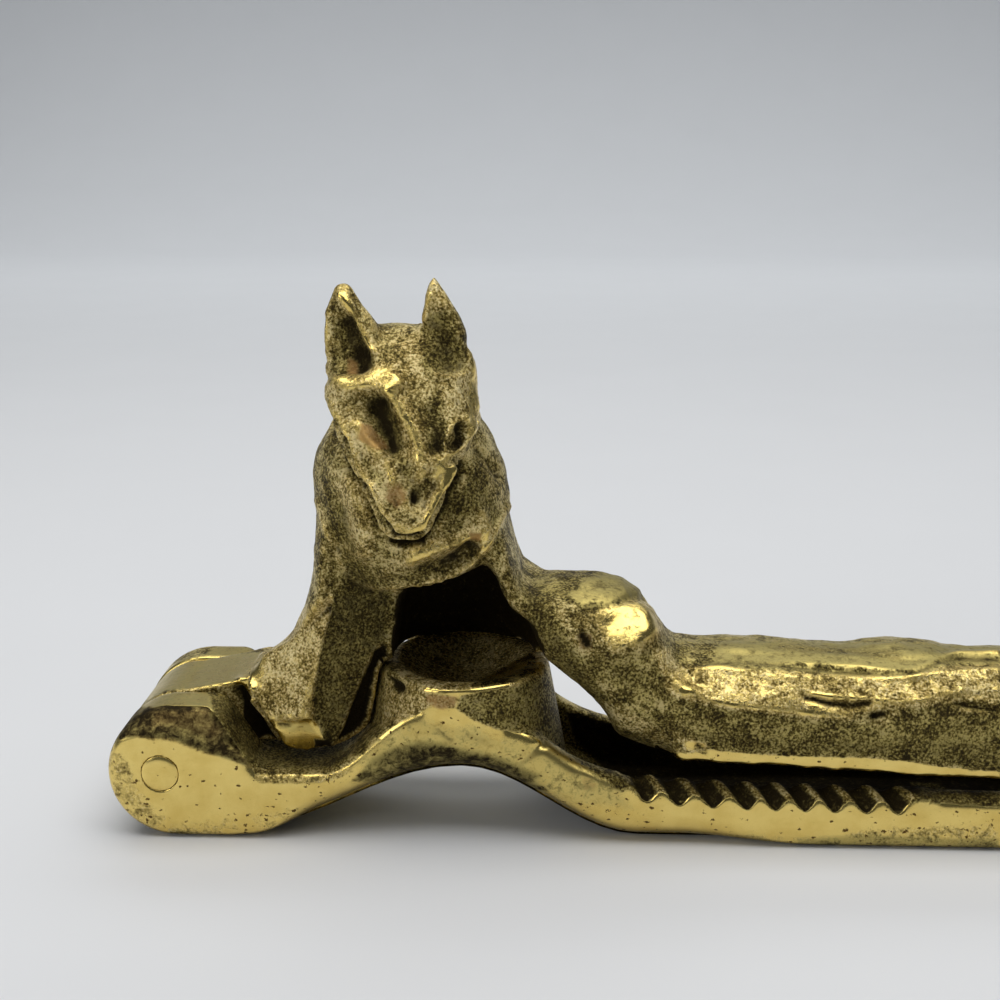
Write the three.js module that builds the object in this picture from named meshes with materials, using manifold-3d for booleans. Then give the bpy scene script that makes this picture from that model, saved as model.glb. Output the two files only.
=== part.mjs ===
// Cast brass lever nutcracker: two levers riveted together at one end.
// The lower lever lies on the table and carries a dished cup and a row of cross teeth.
// The upper lever is cast as a crouching animal whose rounded chest presses the nut into the cup.
// Millimetres, +Z up, X from the rivet towards the handle tips, the animal looks along -Y.

import * as THREE from 'three';
import { mergeVertices } from 'three/addons/utils/BufferGeometryUtils.js';
import Module from 'manifold-3d';

const wasm = await Module();
wasm.setup();

// Gaps that let the pieces move
const LEVER_GAP = 0.4;
const TONGUE_GAP = 0.4;
const PIN_GAP = 0.3;

// How far a cutter runs past what it cuts
const OVERRUN = 20;

// Hinge
const PIN_DIAMETER = 6;
const PIN_EDGE = 0.3;
const HINGE_LIFT = 0.5;
const TONGUE_LIFT = 0.2;
const TONGUE_THICKNESS = 15;
const FRONT_EAR = 9.9;
const BACK_EAR = 7.3;

// Lower lever: knuckle, ears and neck
const LEVER_WIDTH = 28;
const EDGE_ROUND = 1.8;
const KNUCKLE_RADIUS = 11;
const KNUCKLE_LEAD = 2;
const EAR_TOP_REACH = 9.3;
const EAR_FOOT_REACH = 15.8;
const NECK_HEIGHT = 11.8;
const NECK_END = 25;
const FOOT_END = 11;

// Lower lever: cup, its saddle and the arch below it
const CUP_DISTANCE = 49;
const CUP_RADIUS = 14.2;
const CUP_HEIGHT = 27;
const CUP_EDGE = 0.8;
const PILLAR_FLARE = 5;
const DISH_RADIUS = 11;
const DISH_DEPTH = 4;
const SADDLE_HEIGHT = 23;
const SADDLE_START = 43.5;
const SADDLE_END = 58.5;
const SADDLE_DROP = 3.2;
const ARCH_RISE = 11.8;
const HEEL_DISTANCE = 78;

// Lower lever: handle and teeth
const BAR_START = 79.5;
const BAR_HEIGHT = 10.6;
const RAIL_HEIGHT = 9.2;
const RAIL_WIDTH = 4.2;
const FLOOR_THICKNESS = 3.4;
const BAR_TIP_HEIGHT = 8.2;
const BAR_END = 186;
const TAPER_START = 140;
const TIP_WIDTH = 20;
const TOOTH_START = 79.3;
const TOOTH_PITCH = 5.05;
const GROOVE_COUNT = 9;
const GROOVE_RADIUS = 2.4;
const GROOVE_DEPTH = 2.1;
const GROOVE_SLANT = THREE.MathUtils.degToRad(28);
const GROOVE_DIP = THREE.MathUtils.degToRad(15);

// Upper lever: shoulder and foreleg
const SHOULDER_GAP = 2.8;
const SHOULDER_ANGLE = THREE.MathUtils.degToRad(31);
const SHOULDER_RISE = 5.6;
const LEG_WIDTH = 21;
const LEG_LIFT = 1.2;
const LEG_GAP = 0.9;
const LEG_FOOT = 5.2;
const LEG_RIDGE = 3;
const LEG_BACK_SQUARENESS = 2.8;
const LEG_FRONT_SQUARENESS = 4.5;
const WEB_RISE = 1.5;
const FACET_OUT_TURN = THREE.MathUtils.degToRad(13);
const FACET_IN_TURN = THREE.MathUtils.degToRad(24);

// Upper lever: chest with its press face
const JAW_GAP = 16.3;
const CHEST_OFFSET = 8.9;
const CHEST_RADIUS = 15.8;
const CHEST_DEPTH = 15;
const PRESS_RADIUS = 12.7;
const PRESS_DROP = 14.5;
const PRESS_HOLLOW = 1.6;
const PRESS_TILT = THREE.MathUtils.degToRad(12);

// Upper lever: hood behind the nut space
const HOOD_GAP = 0.4;
const HOOD_LEDGE = 0.8;
const HOOD_THICKNESS = 3.5;
const HOOD_ROUND = 3;

// Upper lever: loin, haunch and handle
const LOIN_WIDTH = 23;
const LOIN_SHIFT = 1.5;
const LOIN_SQUARENESS = 2.6;
const HAUNCH_LEAD = 10.4;
const HAUNCH_LENGTH = 24.8;
const HAUNCH_TOP = 41.6;
const HAUNCH_FLOOR = 13.9;
const HAUNCH_WIDTH = 24.8;
const TOP_SQUARENESS = 2.3;
const HAUNCH_BELLY_SQUARENESS = 2.6;
const HANDLE_HEIGHT = 16.9;
const HANDLE_WIDTH = 25.4;
const HANDLE_END = 187;
const HANDLE_BELLY_SQUARENESS = 14;

// Upper lever: head
const HEAD_SHIFT = 1.2;
const HEAD_WIDTH = 22.6;
const HEAD_HEIGHT = 31;
const HEAD_DEPTH = 20;
const CHIN_DROP = 5;
const MUZZLE_REACH = 4;
const EAR_HEIGHT = 9;
const EAR_DEPTH = 6.5;
const FACE_SQUARENESS = 2.5;
const NAPE_SQUARENESS = 2.2;
const EAR_SQUARENESS = 2.2;

// Mesh fineness
const ROUND_SIDES = 48;
const CURVE_STEPS = 10;
const RING_POINTS = 28;

// Heights and places that follow from the sizes above
const hingeHeight = KNUCKLE_RADIUS + HINGE_LIFT;
const tongueRadius = KNUCKLE_RADIUS - TONGUE_LIFT;
const tongueReach = Math.hypot(KNUCKLE_LEAD, HINGE_LIFT) + tongueRadius;
const slotWidth = TONGUE_THICKNESS + 2 * TONGUE_GAP;
const slotMiddle = FRONT_EAR + slotWidth / 2 - LEVER_WIDTH / 2;
const knuckleWidth = FRONT_EAR + slotWidth + BACK_EAR;
const knuckleMiddle = knuckleWidth / 2 - LEVER_WIDTH / 2;
const toothEnd = TOOTH_START + GROOVE_COUNT * TOOTH_PITCH;
const legFloor = NECK_HEIGHT + LEG_LIFT;
const legInner = CUP_DISTANCE - CUP_RADIUS - LEG_GAP;
const chest = new THREE.Vector3(
  CUP_DISTANCE - CHEST_OFFSET,
  0,
  CUP_HEIGHT + JAW_GAP + PRESS_DROP * Math.cos(PRESS_TILT),
);
const haunchStart = CUP_DISTANCE + HAUNCH_LEAD;
const haunchEnd = haunchStart + HAUNCH_LENGTH;

const material = (name, color, roughness) =>
  new THREE.MeshStandardMaterial({ name, color, roughness, metalness: 1 });

const castBrass = material('cast_brass', 0xb59a4c, 0.38);
const filedBrass = material('filed_brass', 0xc9ab58, 0.26);
const rivetBrass = material('rivet_brass', 0xd0b364, 0.22);

// A closed three.js geometry as a solid that can be joined and cut
function solid(geometry) {
  geometry.deleteAttribute('normal');
  geometry.deleteAttribute('uv');
  const merged = mergeVertices(geometry);
  return new wasm.Manifold(new wasm.Mesh({
    numProp: 3,
    vertProperties: new Float32Array(merged.attributes.position.array),
    triVerts: new Uint32Array(merged.index.array),
  }));
}

function geometryOf(body) {
  const mesh = body.getMesh();
  const geometry = new THREE.BufferGeometry();
  geometry.setAttribute('position', new THREE.BufferAttribute(mesh.vertProperties, 3));
  geometry.setIndex(new THREE.BufferAttribute(mesh.triVerts, 1));
  const flat = geometry.toNonIndexed();
  flat.computeVertexNormals();
  return flat;
}

// A side-view outline (X, Z) given width along Y about a middle, its long edges rounded
function acrossWidth(shape, width, round, middle) {
  const geometry = new THREE.ExtrudeGeometry(shape, {
    depth: width - 2 * round,
    curveSegments: CURVE_STEPS,
    bevelEnabled: round > 0,
    bevelThickness: round,
    bevelSize: round,
    bevelOffset: -round,
    bevelSegments: 3,
  });
  geometry.rotateX(Math.PI / 2);
  geometry.translate(0, middle + width / 2 - round, 0);
  return geometry;
}

// A top-view outline (X, Y) raised from one height to another
function upright(shape, low, high) {
  const geometry = new THREE.ExtrudeGeometry(shape, {
    depth: high - low,
    curveSegments: CURVE_STEPS,
    bevelEnabled: false,
  });
  geometry.translate(0, 0, low);
  return geometry;
}

// A round solid about a vertical axis at the given X, from a profile of [radius, height]
function turned(profile, x) {
  const points = profile.map(([radius, height]) => new THREE.Vector2(radius, height));
  const geometry = new THREE.LatheGeometry(points, ROUND_SIDES);
  geometry.rotateX(Math.PI / 2);
  geometry.translate(x, 0, 0);
  return geometry;
}

function polygon(points) {
  return new THREE.Shape(points.map(([x, y]) => new THREE.Vector2(x, y)));
}

// One cross-section: a rounded box spanned by two half axes, squarer on its far or near side
function ring(centre, far, side, farSquareness, nearSquareness) {
  const points = [];
  for (let i = 0; i < RING_POINTS; i += 1) {
    const turn = (i / RING_POINTS) * 2 * Math.PI;
    const squareness = Math.cos(turn) >= 0 ? farSquareness : nearSquareness;
    const along = Math.sign(Math.cos(turn)) * Math.abs(Math.cos(turn)) ** (2 / squareness);
    const beside = Math.sign(Math.sin(turn)) * Math.abs(Math.sin(turn)) ** (2 / squareness);
    points.push(centre.clone().addScaledVector(far, along).addScaledVector(side, beside));
  }
  return points;
}

// A closed skin over rings of equal point counts
function loft(rings) {
  const last = rings.length - 1;
  const middle = (points) =>
    points.reduce((sum, p) => sum.add(p), new THREE.Vector3()).divideScalar(points.length);
  const vertices = [...rings.flat(), middle(rings[0]), middle(rings[last])];
  const startCap = rings.length * RING_POINTS;
  const endCap = startCap + 1;
  const index = [];
  for (let i = 0; i < RING_POINTS; i += 1) {
    const next = (i + 1) % RING_POINTS;
    for (let r = 0; r < last; r += 1) {
      const a = r * RING_POINTS + i;
      const b = r * RING_POINTS + next;
      index.push(a, b, a + RING_POINTS);
      index.push(b, b + RING_POINTS, a + RING_POINTS);
    }
    index.push(startCap, next, i);
    index.push(endCap, last * RING_POINTS + i, last * RING_POINTS + next);
  }
  const geometry = new THREE.BufferGeometry();
  const positions = vertices.flatMap((v) => [v.x, v.y, v.z]);
  geometry.setAttribute('position', new THREE.Float32BufferAttribute(positions, 3));
  geometry.setIndex(index);
  return geometry;
}

// Joins two heights of an outline with a curve that is level at both ends
function glide(shape, from, to) {
  const levelShare = 0.36;
  const run = (to[0] - from[0]) * levelShare;
  shape.bezierCurveTo(from[0] + run, from[1], to[0] - run, to[1], to[0], to[1]);
}

// Side view of the lower lever, anticlockwise from under the knuckle
function lowerOutline() {
  const earTop = 2 * KNUCKLE_RADIUS;
  const tipRound = BAR_TIP_HEIGHT / 2;
  const cornerShare = 0.2;
  const flank = (share) => [
    THREE.MathUtils.lerp(EAR_FOOT_REACH, EAR_TOP_REACH, share),
    THREE.MathUtils.lerp(NECK_HEIGHT, earTop, share),
  ];
  const descentShares = [[0.21, 0.11], [0.31, 0.84]];
  const descent = ([along, down]) => [
    THREE.MathUtils.lerp(SADDLE_END, BAR_START, along),
    THREE.MathUtils.lerp(SADDLE_HEIGHT - SADDLE_DROP, BAR_HEIGHT, down),
  ];
  const shape = new THREE.Shape();
  shape.moveTo(KNUCKLE_LEAD, 0);
  shape.lineTo(FOOT_END, 0);
  glide(shape, [FOOT_END, 0], [CUP_DISTANCE, ARCH_RISE]);
  glide(shape, [CUP_DISTANCE, ARCH_RISE], [HEEL_DISTANCE, 0]);
  shape.lineTo(BAR_END - tipRound, 0);
  shape.absarc(BAR_END - tipRound, tipRound, tipRound, -Math.PI / 2, Math.PI / 2, false);
  shape.lineTo(toothEnd, RAIL_HEIGHT);
  shape.lineTo(BAR_START, BAR_HEIGHT);
  shape.bezierCurveTo(
    ...descent(descentShares[1]),
    ...descent(descentShares[0]),
    SADDLE_END,
    SADDLE_HEIGHT - SADDLE_DROP,
  );
  shape.lineTo(SADDLE_START, SADDLE_HEIGHT);
  glide(shape, [SADDLE_START, SADDLE_HEIGHT], [NECK_END, NECK_HEIGHT]);
  shape.lineTo(EAR_FOOT_REACH + (EAR_FOOT_REACH - EAR_TOP_REACH) * cornerShare, NECK_HEIGHT);
  shape.quadraticCurveTo(EAR_FOOT_REACH, NECK_HEIGHT, ...flank(cornerShare));
  shape.lineTo(...flank(1 - cornerShare));
  shape.quadraticCurveTo(EAR_TOP_REACH, earTop, EAR_TOP_REACH * (1 - cornerShare), earTop);
  shape.lineTo(KNUCKLE_LEAD, earTop);
  shape.absarc(KNUCKLE_LEAD, KNUCKLE_RADIUS, KNUCKLE_RADIUS, Math.PI / 2, 1.5 * Math.PI, false);
  return shape;
}

// Top view of the lower lever: full width, then drawn in to a rounded tip.
// Inset from its edges it is the plan of the trough between the two rails.
function lowerPlan(start, inset) {
  const half = LEVER_WIDTH / 2 - inset;
  const tip = TIP_WIDTH / 2 - inset;
  const tipX = BAR_END - TIP_WIDTH / 2;
  const shape = new THREE.Shape();
  shape.moveTo(start, -half);
  shape.lineTo(TAPER_START, -half);
  shape.lineTo(tipX, -tip);
  shape.absarc(tipX, 0, tip, -Math.PI / 2, Math.PI / 2, false);
  shape.lineTo(TAPER_START, half);
  shape.lineTo(start, half);
  shape.closePath();
  return shape;
}

// Everything above the arched underside, raised by a given thickness
function aboveUnderside(start, thickness) {
  const top = CUP_HEIGHT + OVERRUN;
  const shape = new THREE.Shape();
  if (start < CUP_DISTANCE) {
    shape.moveTo(FOOT_END, thickness);
    glide(shape, [FOOT_END, thickness], [CUP_DISTANCE, ARCH_RISE + thickness]);
  } else {
    shape.moveTo(CUP_DISTANCE, ARCH_RISE + thickness);
  }
  glide(shape, [CUP_DISTANCE, ARCH_RISE + thickness], [HEEL_DISTANCE, thickness]);
  shape.lineTo(BAR_END + OVERRUN, thickness);
  shape.lineTo(BAR_END + OVERRUN, top);
  shape.lineTo(start, top);
  shape.closePath();
  return solid(acrossWidth(shape, LEVER_WIDTH + OVERRUN, 0, 0));
}

// The trough down the middle of the lower lever, from the foot of the cup to the tip
function trough() {
  const plan = upright(lowerPlan(CUP_DISTANCE, RAIL_WIDTH), 0, CUP_HEIGHT);
  return solid(plan).intersect(aboveUnderside(CUP_DISTANCE, FLOOR_THICKNESS));
}

// The slot between the ears that the tongue turns in
function clevisSlot() {
  const base = tongueReach + TONGUE_GAP;
  const top = 2 * KNUCKLE_RADIUS + OVERRUN;
  const shape = polygon([
    [-KNUCKLE_RADIUS - OVERRUN, -OVERRUN],
    [base, -OVERRUN],
    [base, NECK_HEIGHT],
    [NECK_END, NECK_HEIGHT],
    [NECK_END, top],
    [-KNUCKLE_RADIUS - OVERRUN, top],
  ]);
  return solid(acrossWidth(shape, slotWidth, 0, slotMiddle));
}

// A disc along Y about a given point
function discAlongY(radius, length, x, y, z) {
  const geometry = new THREE.CylinderGeometry(radius, radius, length, ROUND_SIDES);
  geometry.translate(x, y, z);
  return solid(geometry);
}

function pinBore() {
  const radius = PIN_DIAMETER / 2 + PIN_GAP;
  return discAlongY(radius, knuckleWidth + OVERRUN, 0, knuckleMiddle, hingeHeight);
}

// The cup's pillar, flaring downwards and filed flat with both sides of the lever.
// Grown by a gap it is the room that the upper lever leaves for it.
function pillar(grow) {
  const radius = CUP_RADIUS + grow;
  const top = CUP_HEIGHT + grow;
  const column = turned([
    [0, 0],
    [radius + PILLAR_FLARE, 0],
    [radius, top - CUP_EDGE],
    [radius - CUP_EDGE, top],
    [0, top],
  ], CUP_DISTANCE);
  const sides = new THREE.BoxGeometry(4 * radius, LEVER_WIDTH + 2 * grow, 2 * top);
  sides.translate(CUP_DISTANCE, 0, top);
  return solid(column)
    .intersect(aboveUnderside(FOOT_END, EDGE_ROUND))
    .intersect(solid(sides));
}

// The dish is a shallow spherical hollow
function dish() {
  const sphereRadius = (DISH_RADIUS ** 2 + DISH_DEPTH ** 2) / (2 * DISH_DEPTH);
  const geometry = new THREE.SphereGeometry(sphereRadius, ROUND_SIDES, ROUND_SIDES);
  geometry.rotateX(Math.PI / 2);
  geometry.translate(CUP_DISTANCE, 0, CUP_HEIGHT - DISH_DEPTH + sphereRadius);
  return geometry;
}

// One slanted groove across a rail, deepest at the lever's front (-1) or back (+1) edge.
// The metal left between two grooves is a tooth.
function groove(i, side) {
  const x = TOOTH_START + i * TOOTH_PITCH;
  const surface = THREE.MathUtils.mapLinear(x, BAR_START, toothEnd, BAR_HEIGHT, RAIL_HEIGHT);
  const length = LEVER_WIDTH / 2;
  const geometry = new THREE.CylinderGeometry(GROOVE_RADIUS, GROOVE_RADIUS, 2 * length, ROUND_SIDES / 2);
  geometry.rotateX(-side * GROOVE_DIP);
  geometry.rotateZ(-side * GROOVE_SLANT);
  geometry.translate(x, side * length, surface + GROOVE_RADIUS - GROOVE_DEPTH);
  return geometry;
}

// The knuckle stands out behind the lever, and narrows to it along the neck
function knuckle() {
  const front = -LEVER_WIDTH / 2;
  const back = front + knuckleWidth;
  const plan = polygon([
    [-KNUCKLE_RADIUS - OVERRUN, front],
    [NECK_END, front],
    [NECK_END, -front - EDGE_ROUND],
    [EAR_FOOT_REACH, back],
    [-KNUCKLE_RADIUS - OVERRUN, back],
  ]);
  return solid(acrossWidth(lowerOutline(), knuckleWidth, EDGE_ROUND, knuckleMiddle))
    .intersect(solid(upright(plan, -OVERRUN, CUP_HEIGHT + OVERRUN)));
}

function lowerBlank(grow) {
  const plan = lowerPlan(-KNUCKLE_RADIUS - OVERRUN, 0);
  return solid(acrossWidth(lowerOutline(), LEVER_WIDTH, EDGE_ROUND, 0))
    .intersect(solid(upright(plan, -OVERRUN, CUP_HEIGHT + OVERRUN)))
    .subtract(trough())
    .add(knuckle())
    .add(pillar(grow))
    .subtract(clevisSlot());
}

function lowerLever() {
  let body = lowerBlank(0)
    .subtract(solid(dish()))
    .subtract(pinBore());
  for (let i = 0; i < GROOVE_COUNT; i += 1) {
    body = body.subtract(solid(groove(i, -1))).subtract(solid(groove(i, 1)));
  }
  return body;
}

// The rivet: flush with both ears, its ends barely chamfered
function hingePin() {
  const radius = PIN_DIAMETER / 2;
  const half = knuckleWidth / 2;
  const profile = [
    [0, -half],
    [radius - PIN_EDGE, -half],
    [radius, -half + PIN_EDGE],
    [radius, half - PIN_EDGE],
    [radius - PIN_EDGE, half],
    [0, half],
  ];
  const points = profile.map(([r, y]) => new THREE.Vector2(r, y));
  const geometry = new THREE.LatheGeometry(points, ROUND_SIDES);
  geometry.translate(0, knuckleMiddle, hingeHeight);
  return geometry;
}

// A point on the shoulder, the flat that faces the ears: up (+) or down (-) it from its middle
function onShoulder(up) {
  const distance = EAR_FOOT_REACH + SHOULDER_GAP;
  return [
    distance * Math.cos(SHOULDER_ANGLE) - up * Math.sin(SHOULDER_ANGLE),
    hingeHeight + distance * Math.sin(SHOULDER_ANGLE) + up * Math.cos(SHOULDER_ANGLE),
  ];
}

// Where the shoulder comes down to the foot of the leg
function shoulderFoot() {
  const top = onShoulder(0);
  const down = (top[1] - legFloor) / Math.cos(SHOULDER_ANGLE);
  return onShoulder(-down);
}

// The tongue between the ears, and the web that joins it to the leg
function tongue() {
  const corner = onShoulder(SHOULDER_RISE);
  const foot = shoulderFoot();
  const web = polygon([
    [0, hingeHeight],
    [tongueRadius / 2, legFloor],
    [foot[0] + LEG_FOOT / 2, legFloor],
    [corner[0] + LEG_FOOT, corner[1] - WEB_RISE],
    [corner[0], corner[1] - WEB_RISE],
    [EAR_TOP_REACH, KNUCKLE_RADIUS + tongueRadius + WEB_RISE],
    [KNUCKLE_LEAD, KNUCKLE_RADIUS + tongueRadius],
  ]);
  return discAlongY(tongueRadius, TONGUE_THICKNESS, KNUCKLE_LEAD, slotMiddle, KNUCKLE_RADIUS)
    .add(solid(acrossWidth(web, TONGUE_THICKNESS, 0, slotMiddle)));
}

// The two curves of the foreleg in side view: its back, up from the shoulder's corner, and its
// inner side, along under the foot and up round the cup, whose pillar is cut out of it
function legCurves() {
  const corner = onShoulder(SHOULDER_RISE);
  const foot = shoulderFoot();
  const back = [chest.x - CHEST_RADIUS + LEG_GAP, chest.z - CHEST_OFFSET / 2];
  const front = [chest.x, chest.z - PRESS_DROP + LEG_LIFT];
  const curve = (from, to, bendShares) => new THREE.CubicBezierCurve(
    new THREE.Vector2(...from),
    ...bendShares.map(([along, up]) => new THREE.Vector2(
      THREE.MathUtils.lerp(from[0], to[0], along),
      THREE.MathUtils.lerp(from[1], to[1], up),
    )),
    new THREE.Vector2(...to),
  );
  return {
    outer: curve(corner, back, [[0.6, 0.1], [0.92, 0.37]]),
    inner: curve(foot, front, [[1, 0], [0.76, 0.36]]),
  };
}

// A block that takes a slanting facet off the leg's face, beside its ridge; mirrored for the back
function facetCutters(turn) {
  const size = LEG_WIDTH + 2 * OVERRUN;
  return [1, -1].map((side) => {
    const geometry = new THREE.BoxGeometry(size, size, size);
    geometry.translate(-Math.sign(turn) * size / 2, side * size / 2, 0);
    geometry.rotateZ(side * turn);
    geometry.translate(shoulderFoot()[0] + LEG_RIDGE, side * LEG_WIDTH / 2, chest.z / 2);
    return solid(geometry);
  });
}

function leg() {
  const { outer, inner } = legCurves();
  const steps = 2 * CURVE_STEPS;
  const sections = [];
  for (let i = 0; i <= steps; i += 1) {
    const out = outer.getPoint(i / steps);
    const into = inner.getPoint(i / steps);
    sections.push(section(
      [out.x, out.y],
      [into.x, into.y],
      0,
      LEG_WIDTH,
      LEG_BACK_SQUARENESS,
      LEG_FRONT_SQUARENESS,
    ));
  }
  let body = solid(loft(sections));
  for (const cutter of [...facetCutters(FACET_OUT_TURN), ...facetCutters(-FACET_IN_TURN)]) {
    body = body.subtract(cutter);
  }
  return body;
}

// The rounded chest, leaning so that its hollow press face looks down at the cup
function chestBody() {
  const bulgeShares = [
    [0.87, -0.72], [0.95, -0.5], [0.99, -0.25], [1, 0], [0.95, 0.31], [0.81, 0.59], [0.59, 0.81], [0.31, 0.95],
  ];
  const profile = [
    [0, PRESS_HOLLOW - PRESS_DROP],
    [PRESS_RADIUS / 2, PRESS_HOLLOW / 2 - PRESS_DROP],
    [PRESS_RADIUS - CUP_EDGE, -PRESS_DROP],
    [PRESS_RADIUS, CUP_EDGE - PRESS_DROP],
    ...bulgeShares.map(([out, up]) => [CHEST_RADIUS * out, CHEST_RADIUS * up]),
    [0, CHEST_RADIUS],
  ];
  const geometry = turned(profile, 0);
  geometry.scale(1, CHEST_DEPTH / CHEST_RADIUS, 1);
  geometry.rotateY(-PRESS_TILT);
  geometry.translate(chest.x, chest.y, chest.z);
  return solid(geometry);
}

// The hood closes the nut space behind, round the cup's axis
function hood() {
  const outer = CUP_RADIUS + HOOD_LEDGE;
  const floor = CUP_HEIGHT + HOOD_GAP;
  const side = polygon([
    [legInner - LEG_FOOT, floor],
    [CUP_DISTANCE + outer, floor],
    [haunchStart - HOOD_ROUND, HAUNCH_TOP],
    [chest.x + PRESS_RADIUS, chest.z - HOOD_ROUND],
    [chest.x, chest.z],
    [chest.x - PRESS_RADIUS, chest.z - HOOD_ROUND],
    [legInner - LEG_FOOT, chest.z - PRESS_DROP],
  ]);
  const plan = new THREE.Shape();
  plan.absarc(CUP_DISTANCE, 0, outer, 0, Math.PI, false);
  plan.closePath();
  const inner = outer - HOOD_THICKNESS;
  const roof = chest.z - PRESS_DROP;
  const room = turned([[0, 0], [inner, 0], [inner, roof], [0, roof]], CUP_DISTANCE);
  return solid(acrossWidth(side, 2 * outer, HOOD_ROUND, 0))
    .intersect(solid(upright(plan, 0, chest.z + OVERRUN)))
    .subtract(solid(room));
}

// A section between an outer and an inner point of the side view
function section(outer, inner, y, width, outerSquareness, innerSquareness) {
  const far = new THREE.Vector3(outer[0] - inner[0], 0, outer[1] - inner[1]).multiplyScalar(0.5);
  const centre = new THREE.Vector3(inner[0], y, inner[1]).add(far);
  const side = new THREE.Vector3(0, -width / 2, 0);
  return ring(centre, far, side, outerSquareness, innerSquareness);
}

// The loin: the short waist from the chest down to the haunch
function loin() {
  // Across and down of its outer side, then of its inner side, from the chest to the hip
  const loinShares = [
    [0.39, -0.28, 0, 0.47],
    [0.61, 0.25, 0.39, 0.66],
    [0.665, 0.6, 0.53, 0.85],
    [0.725, 0.97, 0.64, 1.23],
    [0.94, 1.14, 0.82, 1.48],
  ];
  const hip = [haunchStart + HAUNCH_LENGTH / 4, HAUNCH_TOP];
  const place = (across, down) => [
    THREE.MathUtils.lerp(chest.x, hip[0], across),
    THREE.MathUtils.lerp(chest.z, hip[1], down),
  ];
  return solid(loft(loinShares.map(([outX, outZ, inX, inZ]) =>
    section(place(outX, outZ), place(inX, inZ), LOIN_SHIFT, LOIN_WIDTH, LOIN_SQUARENESS, LOIN_SQUARENESS))));
}

// Haunch and handle: one long skin of upright sections
function haunchAndHandle() {
  // Place along the haunch, top, bottom, width
  const haunchShares = [
    [0, 0.96, 0.8, 0.6],
    [0.03, 0.975, 0.73, 0.74],
    [0.08, 0.985, 0.62, 0.84],
    [0.135, 0.99, 0.535, 0.89],
    [0.2, 0.995, 0.48, 0.93],
    [0.355, 1, 0.37, 0.97],
    [0.48, 0.997, 0.25, 0.99],
    [0.637, 0.958, 0.109, 1],
    [0.758, 0.88, 0.039, 1],
    [0.84, 0.79, 0.018, 0.99],
    [0.92, 0.663, 0.007, 0.98],
  ];
  // Place along the handle, height, lift of the underside, width
  const handleShares = [
    [0, 0.98, 0, 1],
    [0.04, 0.965, 0, 1],
    [0.13, 1, 0, 1],
    [0.28, 0.99, 0, 0.98],
    [0.32, 1.04, 0, 1],
    [0.365, 1.085, 0, 1.02],
    [0.41, 1.07, 0, 1.01],
    [0.45, 1.03, 0, 0.98],
    [0.53, 1.05, 0, 0.98],
    [0.64, 1.05, 0, 0.97],
    [0.78, 0.99, 0, 0.93],
    [0.89, 0.88, 0, 0.86],
    [0.95, 0.74, 0.03, 0.74],
    [0.985, 0.54, 0.1, 0.52],
    [1, 0.36, 0.2, 0.26],
  ];
  const haunchHeight = HAUNCH_TOP - HAUNCH_FLOOR;
  const haunchRings = haunchShares.map(([x, top, bottom, width]) => section(
    [haunchStart + x * HAUNCH_LENGTH, HAUNCH_FLOOR + top * haunchHeight],
    [haunchStart + x * HAUNCH_LENGTH, HAUNCH_FLOOR + bottom * haunchHeight],
    0,
    width * HAUNCH_WIDTH,
    TOP_SQUARENESS,
    HAUNCH_BELLY_SQUARENESS,
  ));
  const handleRings = handleShares.map(([x, height, lift, width]) => {
    const place = THREE.MathUtils.lerp(haunchEnd, HANDLE_END, x);
    const underside = THREE.MathUtils.lerp(HAUNCH_FLOOR, BAR_TIP_HEIGHT + LEVER_GAP, x);
    const bottom = underside + lift * HANDLE_HEIGHT;
    const top = underside + height * HANDLE_HEIGHT;
    const across = width * HANDLE_WIDTH;
    return section([place, top], [place, bottom], 0, across, TOP_SQUARENESS, HANDLE_BELLY_SQUARENESS);
  });
  return solid(loft([...haunchRings, ...handleRings]));
}

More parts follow.
